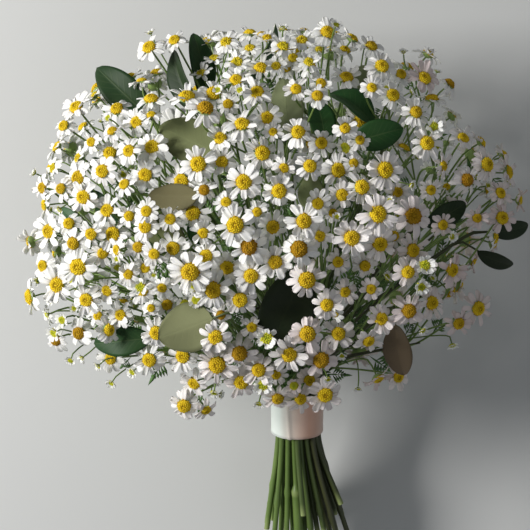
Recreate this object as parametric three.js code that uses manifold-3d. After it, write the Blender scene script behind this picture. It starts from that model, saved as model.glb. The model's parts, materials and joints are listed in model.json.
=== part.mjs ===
// A hand-tied bunch of white daisies with broad leaves, held by a satin band and laid down on its side.
// Units are millimetres, +Z up. The flower head points towards +Y and the cut stems towards -Y, and
// the surface that the bunch lies on is z = 0. The origin is under the middle of the bunch.
import * as THREE from 'three';
import Module from 'manifold-3d';

const wasm = await Module();
wasm.setup();

// Driving dimensions
const HEAD_HEIGHT = 78; // middle of the flower head above the surface
const HEAD_HALF_WIDTH = 127;
const HEAD_HALF_LENGTH = 103;
const HEAD_FRONT = 92; // from the middle of the head to its upper side
const HEAD_BACK = 73; // and to its lower side, which the weight flattens
const BUNCH_TILT = THREE.MathUtils.degToRad(17); // the stems rise this much towards the head
const BAND_HEIGHT = 22; // the ribbon's width
const BAND_RADIUS = 13; // inside the satin
const BAND_THICKNESS = 0.8;
const BAND_SIDES = 24;
const STEM_PITCH = 3.15; // between stems where the band grips them
const STEM_RADIUS = 1.45;
const STEM_SIDES = 3;
const STALK_RADIUS = 0.75;
const CUT_LENGTH_SHORT = 30; // stems below the band
const CUT_LENGTH_LONG = 62;
const STEM_FAN_ACROSS = 2.1; // how much the cut ends spread, compared with the band
const STEM_FAN_DEEP = 1.75;
const STEM_FAN_SHIFT = 5;
const FORK_DEPTH = 30; // where a stem branches, below the blooms that it carries
const CALYX_DEPTH = 2.6;
const CALYX_RADIUS = 1.0;
const DISC_SHARE = 0.43; // yellow disc, as a share of the bloom
const DISC_RISE = 2.2;
const LEAF_THICKNESS = 0.8;
const GAP = 0.3; // kept between separate pieces
const LIFT_OFF = 1.4; // lowest height of what doesn't rest on the surface
const SPRAY_COUNT = 36;
const MOST_BLOOMS_ON_A_SPRAY = 11;
const LOWEST_FORK = 36; // forks lie at least this far past the middle of the band
const HIDDEN_BLOOMS = 34;
const FILLER_BLOOMS = 66;
const FILLER_SINK = 11; // fillers sit this much deeper than the blooms that they fill between
const FILLER_RADII = [7, 9.6];
const FILLER_REGION = 0.93; // share of the head's outline that they fill
const LARGE_BLOOM = 9.6; // radius from which a bloom has the most petals
const HIDDEN_DEPTH = 0.93; // hidden blooms sit just inside the head's outline
const HIDDEN_RADIUS = 9.5;
const CLEAR_OF_STEMS = { below: -55, middle: 12, half: 30 }; // no hidden blooms in front of the stems
const LOOK_OUT = 0.6; // how far a bloom turns with the head's curve; the rest of it looks up
const LOW_BLOOM_TURN = { across: 0.6, along: 0.3 }; // those towards the stems turn less
const LEAFY_STEM_COUNT = 12;
const PETIOLE_LENGTH = 8;
// How a leaf may move to find room: up or down (mm), turned about its midrib (degrees), and how its
// stem is bent past its neighbours (mm).
const LEAF_SHIFTS = [0, -4, 4, -8, 8, -12, 12, -16, -20, -26];
const LEAF_ROLLS = [0, 15, -15, 30, -30, 45, -45];
const LEAF_NUDGES = [0, 1.5, -1.5, 3];
const LEAF_STEM_LIFTS = [0, 2, 4, 6]; // a leafy stem may pass higher, over the others
const SECOND_LEAF_ROOT = 0.7; // share of a leafy stem at which its second leaf grows
const OWN_SPRAY_PULL = 22; // mm that a stalk may be longer to reach its own spray's stem
const CROWDING_COST = 2; // mm for each bloom that a stem already carries
const NEAR_TRIES = 9; // the first of BLOOM_TRIES, below
const NECK_LENGTH = 8; // straight end of a stalk behind its bloom
// Where stalks may leave a stem, as shares of its length; no two leave at the same place.
const ROOT_SHARES = [0.99, 0.955, 0.92, 0.885, 0.85, 0.81, 0.77, 0.73, 0.69, 0.65, 0.6, 0.55];
// How a bloom may move to find room: along its facing, then two ways sideways (mm).
const BLOOM_TRIES = [
  [0, 0, 0], [3, 0, 0], [-3, 0, 0], [0, 1.5, 0], [0, -1.5, 0], [0, 0, 1.5], [0, 0, -1.5], [6, 0, 0], [-6, 0, 0],
  [3, 2.5, 0], [3, -2.5, 0], [-3, 0, 2.5], [-3, 0, -2.5], [9, 0, 0], [-9, 0, 0], [6, 2.5, 2.5], [6, -2.5, -2.5],
  [-6, 2.5, -2.5], [-6, -2.5, 2.5], [12, 0, 0], [-12, 0, 0], [9, 3, 0], [9, -3, 0], [-9, 0, 3], [-9, 0, -3],
  [-14, 3, 3], [-14, -3, -3], [13, 3, 3], [13, -3, -3],
];

// The bunch is laid out as seen from straight above, in pixels of a 530 x 530 picture.
const MM_PER_PIXEL = 0.5;
const HEAD_PIXEL = [268, 215];
const BAND_PIXEL = [297, 410];
const EYE_DISTANCE = 900;

// Blooms seen from above: x, y, width in pixels, then how much a bloom stands out of the head (mm),
// and for those that don't follow the head's curve, the way they lean (degrees, 0 right and 90 up in
// the picture) and how far they lean away from the eye (degrees).
const SEEN_BLOOMS = [
  // middle left
  [198, 164, 44], [244, 182, 44], [235, 225, 46, 4], [249, 247, 46], [190, 272, 50, 6],
  [213, 290, 46], [251, 276, 40, -4], [240, 300, 40], [206, 256, 36, -6], [170, 219, 30],
  [203, 233, 30, -6], [155, 206, 30], [204, 190, 30, -5], [222, 162, 34, -8], [226, 202, 28, -8],
  [154, 254, 30], [138, 247, 30, -4], [122, 249, 28, -2, 190, 50], [145, 268, 28, -8],
  [196, 300, 22, -8], [162, 288, 26, -4], [257, 212, 26, -10],
  // lower left
  [216, 336, 40, 3], [217, 365, 46], [240, 352, 42, -5], [241, 382, 40], [268, 338, 24, 2],
  [264, 388, 20, -4], [276, 371, 26, -14], [252, 326, 28, -12], [222, 313, 26, -10],
  [183, 306, 24, -8], [155, 334, 38, 2], [149, 360, 38, -4], [184, 406, 38, 10], [206, 410, 30, 6, 300, 50],
  [151, 308, 22, -6],
  // lower right
  [307, 333, 44, 3], [289, 353, 42, -5], [327, 305, 36], [321, 360, 44], [325, 395, 42, 2],
  [294, 386, 22, -10], [304, 221, 42], [320, 236, 32, -6], [299, 249, 46, 3], [275, 262, 40, -4],
  [307, 280, 46, 2], [352, 238, 44], [378, 214, 48, 4], [413, 216, 46], [385, 170, 46, 2],
  [362, 187, 40, -4], [342, 195, 34, -8], [355, 162, 26, -4], [345, 148, 26, -10],
  [333, 213, 24, -14], [408, 272, 36], [409, 311, 40], [380, 318, 36, -6], [371, 345, 34, 2, 300, 40],
  [394, 236, 28, -14], [338, 262, 30, -12], [365, 266, 30, -12], [345, 292, 30, -12],
  [429, 266, 22, 2], [424, 288, 24, 0, 290, 60], [452, 270, 40, 0, 340, 40], [371, 289, 28, -6],
  // upper middle
  [310, 166, 36], [284, 168, 28, -8], [279, 191, 40], [298, 132, 38], [273, 132, 24, -4],
  [242, 124, 42, 2, 90, 40], [228, 104, 28, -6], [204, 118, 44, 2, 80, 45], [187, 102, 44, -4, 90, 50],
  [151, 99, 38, 0, 95, 55], [257, 92, 36], [236, 80, 34, -3], [296, 92, 30], [321, 83, 28],
  [309, 66, 36, 0, 90, 55], [286, 68, 26, -8], [276, 50, 26, -4, 95, 60], [227, 42, 34, 2, 100, 45],
  [262, 35, 26, -4, 90, 60], [345, 128, 30], [360, 140, 26, -6],
  // upper right
  [382, 66, 38, 2], [401, 74, 30, -5], [424, 78, 40], [393, 95, 36, -4], [367, 96, 28, -6],
  [416, 112, 34], [438, 124, 24, -4], [427, 143, 40, 2], [463, 138, 34, 0, 60, 45],
  [467, 180, 36], [477, 218, 28], [443, 166, 30, -6, 10, 60], [431, 190, 28, -8], [443, 225, 28, -6],
  // far left
  [129, 151, 34], [102, 171, 36], [83, 197, 38], [124, 187, 30, -4, 140, 40], [129, 216, 28, -6],
  [112, 131, 28, -2, 120, 50], [91, 142, 26, -6], [91, 234, 32], [78, 267, 46, 2], [57, 285, 42, -4],
  [86, 300, 36], [98, 316, 26, -8], [56, 340, 32], [79, 333, 36, -4], [62, 320, 20, 2],
  [109, 330, 34, -2, 0, 45], [130, 274, 28, -4], [142, 290, 34, -2], [161, 126, 26, -6, 110, 50],
];

// Blooms at the edge of the head, seen from the side or from behind: x, y, width in pixels, height
// against the middle of the head (mm), then their lean as above.
const EDGE_BLOOMS = [
  [45, 205, 34, 8, 185, 80], [31, 242, 32, -8, 195, 115], [57, 252, 34, 12, 170, 110],
  [30, 297, 42, 4, 190, 75], [50, 169, 30, 6, 165, 80], [57, 147, 34, -8, 150, 80],
  [83, 127, 30, 6, 135, 80], [80, 160, 30, 18, 140, 100], [97, 101, 30, -4, 125, 85],
  [130, 77, 34, 4, 110, 80], [157, 73, 34, -2, 95, 80], [139, 94, 28, 22, 100, 85],
  [200, 72, 38, 14, 90, 76], [207, 40, 24, -2, 100, 80], [210, 58, 28, 10, 95, 85],
  [239, 58, 32, 24, 85, 105], [250, 33, 32, 6, 90, 80], [283, 30, 24, -4, 85, 85],
  [304, 33, 34, 4, 80, 110], [332, 50, 30, 6, 75, 80], [352, 38, 34, -2, 62, 78],
  [428, 54, 32, 6, 55, 80], [449, 84, 32, 8, 45, 78], [432, 99, 36, 24, 88, 76],
  [404, 148, 30, 44, 60, 75], [452, 116, 30, 6, 40, 105], [481, 142, 32, 4, 35, 80],
  [504, 156, 32, -4, 25, 80], [514, 172, 38, 4, 5, 76], [486, 190, 22, 12, 0, 80],
  [519, 200, 30, -8, 0, 85], [493, 243, 34, 6, 350, 78], [467, 258, 30, -4, 340, 85],
  [450, 292, 34, 0, 320, 80], [378, 378, 34, 18, 300, 70], [124, 300, 24, 34, 250, 70],
  [142, 322, 30, 36, 240, 105], [47, 315, 24, 0, 200, 80],
];

// Places that stay dark or show a leaf: x, y and radius in pixels.
const QUIET_PLACES = [
  [283, 297, 22], [415, 175, 20], [440, 212, 20], [462, 238, 16], [385, 268, 20], [388, 290, 12], [430, 245, 14],
  [358, 322, 18], [430, 335, 26], [400, 350, 22], [185, 135, 16], [172, 130, 12], [160, 215, 10], [178, 232, 10],
  [185, 325, 22], [170, 330, 12], [178, 197, 9], [380, 137, 14], [340, 105, 13], [112, 85, 16], [174, 66, 14],
  [193, 50, 10], [118, 338, 14], [100, 275, 12], [160, 165, 10], [150, 380, 30], [480, 210, 14], [284, 105, 12],
  [312, 190, 8], [230, 400, 30], [350, 385, 30], [492, 270, 24],
];

// Broad leaves, seen from above: base x, y and tip x, y in pixels, height of both ends against the
// middle of the head (mm), width (mm), roll (degrees, 0 shows the upper face) and fold (degrees).
const LEAVES = [
  { base: [492, 233], tip: [530, 226], heights: [16, 8], width: 10, roll: 20, fold: 15 },
  { base: [478, 253], tip: [514, 267], heights: [20, 12], width: 9, roll: 30, fold: 15 },
  { base: [152, 120], tip: [95, 66], heights: [22, 14], width: 18, roll: 0, fold: 12 },
  { base: [196, 114], tip: [170, 50], heights: [30, 22], width: 15, roll: -40, fold: 30 },
  { base: [207, 100], tip: [195, 31], heights: [18, 10], width: 14, roll: 25, fold: 20 },
  { base: [216, 152], tip: [160, 127], heights: [66, 60], width: 21, roll: 180, fold: 10 },
  { base: [250, 86], tip: [280, 25], heights: [24, 14], width: 14, roll: 65, fold: 20 },
  { base: [288, 136], tip: [284, 79], heights: [64, 54], width: 17, roll: 175, fold: 12 },
  { base: [326, 142], tip: [316, 98], heights: [62, 54], width: 14, roll: 20, fold: 15 },
  { base: [374, 122], tip: [331, 90], heights: [56, 50], width: 19, roll: 30, fold: 30 },
  { base: [350, 104], tip: [364, 66], heights: [40, 32], width: 12, roll: 200, fold: 15 },
  { base: [352, 142], tip: [404, 128], heights: [60, 58], width: 15, roll: 0, fold: 12 },
  { base: [150, 196], tip: [199, 197], heights: [66, 74], width: 14, roll: 165, fold: 15 },
  { base: [184, 248], tip: [136, 205], heights: [64, 60], width: 17, roll: 195, fold: 20 },
  { base: [312, 212], tip: [311, 174], heights: [74, 70], width: 13, roll: 180, fold: 15 },
  { base: [214, 318], tip: [160, 338], heights: [68, 60], width: 24, roll: 185, fold: 12 },
  { base: [150, 338], tip: [92, 344], heights: [40, 32], width: 15, roll: 0, fold: 12 },
  { base: [270, 348], tip: [304, 268], heights: [56, 62], width: 27, roll: 0, fold: 10 },
  { base: [394, 326], tip: [403, 377], heights: [34, 26], width: 15, roll: 20, fold: 15 },
  { base: [426, 226], tip: [467, 203], heights: [46, 42], width: 12, roll: 10, fold: 20 },
];

const GREEN = { color: 0x6f8a3f, roughness: 0.6, metalness: 0 };
const LEAF_GREEN = { color: 0x36492f, roughness: 0.55, metalness: 0 };
const PETAL_WHITE = { color: 0xf1efe8, roughness: 0.65, metalness: 0 };
const SATIN = { color: 0xd8d5c4, roughness: 0.35, metalness: 0 };

const UP = new THREE.Vector3(0, 0, 1);
const AXIS = new THREE.Vector3(0, Math.cos(BUNCH_TILT), Math.sin(BUNCH_TILT));
const ACROSS = new THREE.Vector3(1, 0, 0);
const DEEP = new THREE.Vector3().crossVectors(ACROSS, AXIS);

// A seeded draw, so that every build gives the same bunch.
function seededDraw(seed) {
  let state = seed;
  return () => {
    state = (state + 0x6d2b79f5) | 0;
    let mixed = Math.imul(state ^ (state >>> 15), 1 | state);
    mixed = (mixed + Math.imul(mixed ^ (mixed >>> 7), 61 | mixed)) ^ mixed;
    return ((mixed ^ (mixed >>> 14)) >>> 0) / 4294967296;
  };
}

// A place in the picture at a height above the surface, seen by an eye above the head.
function fromPicture(x, y, height) {
  const spread = MM_PER_PIXEL * (EYE_DISTANCE - height + HEAD_HEIGHT) / EYE_DISTANCE;
  return new THREE.Vector3((x - HEAD_PIXEL[0]) * spread, (HEAD_PIXEL[1] - y) * spread, height);
}

// How far the upper side of the head stands above its middle at a place in the picture.
function domeRise(x, y) {
  const across = (x - HEAD_PIXEL[0]) * MM_PER_PIXEL / HEAD_HALF_WIDTH;
  const along = (HEAD_PIXEL[1] - y) * MM_PER_PIXEL / HEAD_HALF_LENGTH;
  const lowered = 1 - 0.3 * Math.max(0, -along) ** 2;
  return HEAD_FRONT * lowered * Math.sqrt(Math.max(0.02, 1 - across ** 2 - along ** 2));
}

// The head is an egg shape; this is the way out of it at a point.
function outOfHead(point) {
  const depth = point.z - HEAD_HEIGHT;
  const half = depth > 0 ? HEAD_FRONT : HEAD_BACK;
  return new THREE.Vector3(
    point.x / HEAD_HALF_WIDTH ** 2,
    point.y / HEAD_HALF_LENGTH ** 2,
    depth / half ** 2,
  ).normalize();
}

// A direction that leans away from straight up by an angle, towards a turn in the picture.
function leaning(turn, lean) {
  const turned = THREE.MathUtils.degToRad(turn);
  const leaned = THREE.MathUtils.degToRad(lean);
  return new THREE.Vector3(
    Math.cos(turned) * Math.sin(leaned),
    Math.sin(turned) * Math.sin(leaned),
    Math.cos(leaned),
  );
}

// Blooms follow the head's curve but look up towards the eye, above all those near the stems.
function lookingOut(centre) {
  const out = outOfHead(centre);
  if (out.y < 0) {
    out.x *= LOW_BLOOM_TURN.across;
    out.y *= LOW_BLOOM_TURN.along;
  }
  return out.multiplyScalar(LOOK_OUT).addScaledVector(UP, 1 - LOOK_OUT).normalize();
}

function seenBloom([x, y, width, lift = 0, turn = null, lean = null]) {
  const height = HEAD_HEIGHT + domeRise(x, y) + lift;
  const centre = fromPicture(x, y, height);
  const facing = lean === null ? lookingOut(centre) : leaning(turn, lean);
  const radius = width * MM_PER_PIXEL / 2 * (EYE_DISTANCE - height + HEAD_HEIGHT) / EYE_DISTANCE;
  return { centre, facing, radius: Math.max(radius, 5) };
}

function edgeBloom([x, y, width, rise, turn, lean]) {
  const centre = fromPicture(x, y, HEAD_HEIGHT + rise);
  return { centre, facing: leaning(turn, lean), radius: width * MM_PER_PIXEL / 2 };
}

// Blooms on the lower side of the head, spread evenly by the golden angle.
function hiddenBlooms(random) {
  const goldenAngle = Math.PI * (3 - Math.sqrt(5));
  const blooms = [];
  for (let i = 0; i < HIDDEN_BLOOMS; i++) {
    const depth = 0.12 + 0.88 * (i + 0.5) / HIDDEN_BLOOMS;
    const ring = Math.sqrt(1 - depth ** 2);
    const turn = i * goldenAngle;
    const along = Math.sin(turn);
    const shorter = along < 0 ? 1 - 0.35 * ring * Math.abs(Math.cos(turn)) : 1;
    const centre = new THREE.Vector3(
      HEAD_HALF_WIDTH * HIDDEN_DEPTH * ring * Math.cos(turn),
      HEAD_HALF_LENGTH * HIDDEN_DEPTH * ring * along * shorter,
      HEAD_HEIGHT - HEAD_BACK * depth,
    );
    const facing = outOfHead(centre);
    const beside = Math.abs(centre.x - CLEAR_OF_STEMS.middle);
    const nearStems = centre.y < CLEAR_OF_STEMS.below && beside < CLEAR_OF_STEMS.half;
    if (!nearStems) {
      blooms.push({ centre, facing, radius: HIDDEN_RADIUS + 2 * random(), straight: true });
    }
  }
  return blooms;
}

// Smaller blooms fill the gaps between those that are seen. Each goes to the middle of the largest gap
// left, out of the dark places and off the leaves.
function fillerBlooms(random, seen) {
  const circles = seen.map(([x, y, width]) => [x, y, width / 2]).concat(QUIET_PLACES);
  const candidates = [];
  for (let y = 20; y < 400; y += 5) {
    for (let x = 20; x < 520; x += 5) {
      const across = (x - HEAD_PIXEL[0]) * MM_PER_PIXEL / HEAD_HALF_WIDTH;
      const along = (HEAD_PIXEL[1] - y) * MM_PER_PIXEL / HEAD_HALF_LENGTH;
      if (Math.hypot(across, along) < FILLER_REGION) {
        candidates.push([x + 4 * random(), y + 4 * random()]);
      }
    }
  }
  const blooms = [];
  for (let i = 0; i < FILLER_BLOOMS; i++) {
    const room = candidates.map(([x, y]) => Math.min(...circles.map((c) => Math.hypot(x - c[0], y - c[1]) - c[2])));
    const [x, y] = candidates[room.indexOf(Math.max(...room))];
    const radius = THREE.MathUtils.lerp(...FILLER_RADII, random());
    const height = HEAD_HEIGHT + domeRise(x, y) - FILLER_SINK * (0.6 + 0.8 * random());
    const centre = fromPicture(x, y, height);
    const facing = lookingOut(centre);
    facing.x += 0.5 * (random() - 0.5);
    facing.y += 0.5 * (random() - 0.5);
    blooms.push({ centre, facing: facing.normalize(), radius, straight: true });
    circles.push([x, y, radius / MM_PER_PIXEL]);
  }
  return blooms;
}

// Two blooms pressed flat on their faces carry the head.
const RESTING_BLOOMS = [
  { centre: new THREE.Vector3(-50, 48, 0), facing: UP.clone().negate(), radius: 12, flat: true },
  { centre: new THREE.Vector3(56, 46, 0), facing: UP.clone().negate(), radius: 12, flat: true },
];

// Boolean work

function solidOf(positions, faces) {
  const mesh = new wasm.Mesh({
    numProp: 3,
    vertProperties: new Float32Array(positions),
    triVerts: new Uint32Array(faces),
  });
  return new wasm.Manifold(mesh);
}

function solidOfGeometry(geometry) {
  const position = geometry.getAttribute('position');
  const places = new Map();
  const positions = [];
  const corner = [];
  for (let i = 0; i < position.count; i++) {
    const point = [position.getX(i), position.getY(i), position.getZ(i)];
    const key = point.map((value) => Math.round(value * 1e4)).join(',');
    if (!places.has(key)) {
      places.set(key, positions.length / 3);
      positions.push(...point);
    }
    corner.push(places.get(key));
  }
  const index = geometry.getIndex();
  const faces = [];
  const count = index ? index.count : position.count;
  for (let i = 0; i < count; i += 3) {
    const face = [0, 1, 2].map((k) => corner[index ? index.getX(i + k) : i + k]);
    if (new Set(face).size === 3) {
      faces.push(...face);
    }
  }
  return solidOf(positions, faces);
}

function geometryOf(solid) {
  const mesh = solid.getMesh();
  const geometry = new THREE.BufferGeometry();
  const positions = new Float32Array(mesh.numVert * 3);
  for (let i = 0; i < mesh.numVert; i++) {
    for (let k = 0; k < 3; k++) {
      positions[i * 3 + k] = mesh.vertProperties[i * mesh.numProp + k];
    }
  }
  geometry.setAttribute('position', new THREE.BufferAttribute(positions, 3));
  geometry.setIndex(new THREE.BufferAttribute(new Uint32Array(mesh.triVerts), 1));
  const faceted = geometry.toNonIndexed();
  faceted.computeVertexNormals();
  return faceted;
}

function boxesMeet(a, b, margin) {
  for (let k = 0; k < 3; k++) {
    if (a.min[k] > b.max[k] + margin || b.min[k] > a.max[k] + margin) {
      return false;
    }
  }
  return true;
}

// A piece with the box round it, which makes most comparisons cheap.
function boxed(solid, owner, kind) {
  return { solid, box: solid.boundingBox(), owner, kind };
}

function meets(candidate, other) {
  if (!boxesMeet(candidate.box, other.box, 0)) {
    return false;
  }
  return !candidate.solid.intersect(other.solid).isEmpty();
}

// Stems

class RoutedCurve extends THREE.Curve {
  constructor(points) {
    super();
    this.points = points;
  }

  getPoint(t) {
    const place = t * (this.points.length - 1);
    const i = Math.min(Math.floor(place), this.points.length - 2);
    return this.points[i].clone().lerp(this.points[i + 1], place - i);
  }

  getPointAt(t) {
    return this.getPoint(t);
  }

  getTangentAt(t) {
    const step = 0.5 / (this.points.length - 1);
    const before = this.getPoint(Math.max(0, t - step));
    return this.getPoint(Math.min(1, t + step)).sub(before).normalize();
  }
}

function tubeSolid(points, radius, sides) {
  const outline = new THREE.Shape();
  for (let i = 0; i < sides; i++) {
    const turn = (i + 0.5) / sides * Math.PI * 2;
    const corner = [radius * Math.cos(turn), radius * Math.sin(turn)];
    if (i === 0) {
      outline.moveTo(...corner);
    } else {
      outline.lineTo(...corner);
    }
  }
  const geometry = new THREE.ExtrudeGeometry(outline, {
    steps: points.length - 1,
    extrudePath: new RoutedCurve(points),
    bevelEnabled: false,
  });
  return solidOfGeometry(geometry);
}

// The places nearest the middle of a honeycomb, which is how tied stems pack.
function packedPlaces(count, pitch) {
  const places = [];
  for (let i = -6; i <= 6; i++) {
    for (let j = -6; j <= 6; j++) {
      places.push(new THREE.Vector2((i + j / 2) * pitch, j * pitch * Math.sqrt(3) / 2));
    }
  }
  places.sort((a, b) => a.length() - b.length() || a.angle() - b.angle());
  return places.slice(0, count);
}

const BAND_CENTRE = fromPicture(
  BAND_PIXEL[0], BAND_PIXEL[1],
  HEAD_HEIGHT - (BAND_PIXEL[1] - HEAD_PIXEL[1]) * MM_PER_PIXEL * Math.tan(BUNCH_TILT),
);

function besideAxis(along, place) {
  return BAND_CENTRE.clone()
    .addScaledVector(AXIS, along)
    .addScaledVector(ACROSS, place.x)
    .addScaledVector(DEEP, place.y);
}

// The way from the band to a point, as an angle from the axis laid out on a flat map.
function wayOnMap(point) {
  const way = point.clone().sub(besideAxis(BAND_HEIGHT / 2, new THREE.Vector2())).normalize();
  const angle = Math.acos(THREE.MathUtils.clamp(way.dot(AXIS), -1, 1));
  const flat = new THREE.Vector2(way.dot(ACROSS), way.dot(DEEP));
  return flat.normalize().multiplyScalar(angle);
}

// Blooms are gathered into sprays by the way that they lie in, seen from the band.
function gatherWays(ways, count) {
  const middles = [ways[0].clone()];
  while (middles.length < count) {
    const nearest = ways.map((way) => Math.min(...middles.map((middle) => middle.distanceTo(way))));
    middles.push(ways[nearest.indexOf(Math.max(...nearest))].clone());
  }
  let owners = [];
  for (let round = 0; round < 25; round++) {
    owners = ways.map((way) => {
      const gaps = middles.map((middle) => middle.distanceTo(way));
      return gaps.indexOf(Math.min(...gaps));
    });
    middles.forEach((middle, i) => {
      const own = ways.filter((way, k) => owners[k] === i);
      if (own.length > 0) {
        middle.set(0, 0);
        own.forEach((way) => middle.addScaledVector(way, 1 / own.length));
      }
    });
  }
  return owners;
}

// Each stem gets a place in the band so that no two stems need to cross on their way out.
function placeStems(ways, places) {
  const order = places.map((place, i) => i);
  let changed = true;
  while (changed) {
    changed = false;
    for (let i = 0; i < order.length; i++) {
      for (let j = i + 1; j < order.length; j++) {
        const apart = places[order[i]].clone().sub(places[order[j]]);
        const wanted = ways[i].clone().sub(ways[j]);
        if (apart.dot(wanted) < -1e-9) {
          [order[i], order[j]] = [order[j], order[i]];
          changed = true;
        }
      }
    }
  }
  return order.map((k) => places[k]);
}

function stemRoute(place, target, cutLength) {
  const below = besideAxis(
    -BAND_HEIGHT / 2 - cutLength,
    new THREE.Vector2(
      place.x * STEM_FAN_ACROSS + STEM_FAN_SHIFT * cutLength / CUT_LENGTH_LONG,
      place.y * STEM_FAN_DEEP,
    ),
  );
  const entry = besideAxis(-BAND_HEIGHT / 2 - 2, place);
  const exit = besideAxis(BAND_HEIGHT / 2 + 2, place);
  const reach = exit.distanceTo(target);
  const outward = target.clone().sub(besideAxis(BAND_HEIGHT / 2, new THREE.Vector2())).normalize();
  const bend = new THREE.CubicBezierCurve3(
    exit,
    exit.clone().addScaledVector(AXIS, reach * 0.3),
    target.clone().addScaledVector(outward, -reach * 0.35),
    target,
  );
  return [below, entry, exit, bend.getPoint(0.3), bend.getPoint(0.65), target];
}

// Blooms: a closed star on its three-sided stalk. The disc is its raised middle, and each petal runs
// from the disc's edge to a tip.
function bloomSolid(bloom, root, options) {
  const { petals, roll, cup, swell } = options;
  const facing = bloom.facing;
  const radius = bloom.radius * swell;
  const side = new THREE.Vector3().crossVectors(Math.abs(facing.z) < 0.9 ? UP : ACROSS, facing).normalize();
  side.applyAxisAngle(facing, roll);
  const seat = bloom.centre.clone().addScaledVector(facing, -CALYX_DEPTH);
  const neck = bloom.centre.clone().addScaledVector(facing, -CALYX_DEPTH - options.neck);
  const positions = [];
  const faces = [];
  const addRing = (middle, way, ringSide, ringRadius) => {
    const other = new THREE.Vector3().crossVectors(way, ringSide);
    for (let k = 0; k < 3; k++) {
      const turn = k * Math.PI * 2 / 3;
      const point = middle.clone()
        .addScaledVector(ringSide, ringRadius * Math.cos(turn))
        .addScaledVector(other, ringRadius * Math.sin(turn));
      positions.push(point.x, point.y, point.z);
    }
  };
  // The stalk leaves the stem, bends at the neck and ends in the calyx.
  const { straight = false } = bloom;
  const firstWay = (straight ? seat : neck).clone().sub(root).normalize();
  const turned = new THREE.Quaternion().setFromUnitVectors(facing, firstWay);
  const halfTurned = new THREE.Quaternion().slerp(turned, 0.5);
  const stalkRadius = STALK_RADIUS + (swell > 1 ? GAP : 0);
  addRing(root, firstWay, side.clone().applyQuaternion(turned), stalkRadius);
  if (!straight) {
    addRing(neck, facing.clone().applyQuaternion(halfTurned), side.clone().applyQuaternion(halfTurned), stalkRadius);
  }
  addRing(seat, facing, side, CALYX_RADIUS + stalkRadius - STALK_RADIUS);
  faces.push(0, 2, 1);
  const seatRing = positions.length / 3 - 3;
  for (let level = 0; level < seatRing / 3; level++) {
    for (let k = 0; k < 3; k++) {
      const a = level * 3 + k;
      const b = level * 3 + (k + 1) % 3;
      faces.push(a, b, b + 3, a, b + 3, a + 3);
    }
  }
  // The star's rim: a valley between petals, then a petal's tip.
  const other = new THREE.Vector3().crossVectors(facing, side);
  const rim = [];
  const addRim = (turn, reach, rise) => {
    const point = bloom.centre.clone()
      .addScaledVector(side, reach * Math.cos(turn))
      .addScaledVector(other, reach * Math.sin(turn))
      .addScaledVector(facing, rise);
    rim.push({ index: positions.length / 3, turn });
    positions.push(point.x, point.y, point.z);
  };
  const step = Math.PI * 2 / petals;
  const discRadius = radius * DISC_SHARE;
  for (let i = 0; i < petals; i++) {
    const rise = bloom.flat ? 0 : cup + 0.6 * Math.sin(i * 2.4 + roll * 5);
    const reach = radius * (bloom.flat ? 1 : 0.96 + 0.04 * Math.cos(i * 3.7 + roll * 9));
    addRim(i * step, discRadius, bloom.flat ? 0 : 0.3);
    addRim((i + 0.5) * step, reach, rise);
  }
  const apex = positions.length / 3;
  const top = bloom.centre.clone().addScaledVector(facing, bloom.flat ? 0 : DISC_RISE * bloom.radius / 11);
  positions.push(top.x, top.y, top.z);
  for (let i = 0; i < petals; i++) {
    const [valley, tip, nextValley] = [0, 1, 2].map((k) => rim[(i * 2 + k) % rim.length].index);
    faces.push(apex, valley, nextValley, valley, tip, nextValley);
  }
  const nearestCorner = (turn) => Math.round(turn / (Math.PI * 2 / 3)) % 3 + seatRing;
  for (let k = 0; k < rim.length; k++) {
    const here = rim[k];
    const next = rim[(k + 1) % rim.length];
    const hereCorner = nearestCorner(here.turn);
    const nextCorner = nearestCorner(next.turn);
    faces.push(here.index, hereCorner, next.index);
    if (nextCorner !== hereCorner) {
      faces.push(next.index, hereCorner, nextCorner);
    }
  }
  return solidOf(positions, faces);
}

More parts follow.
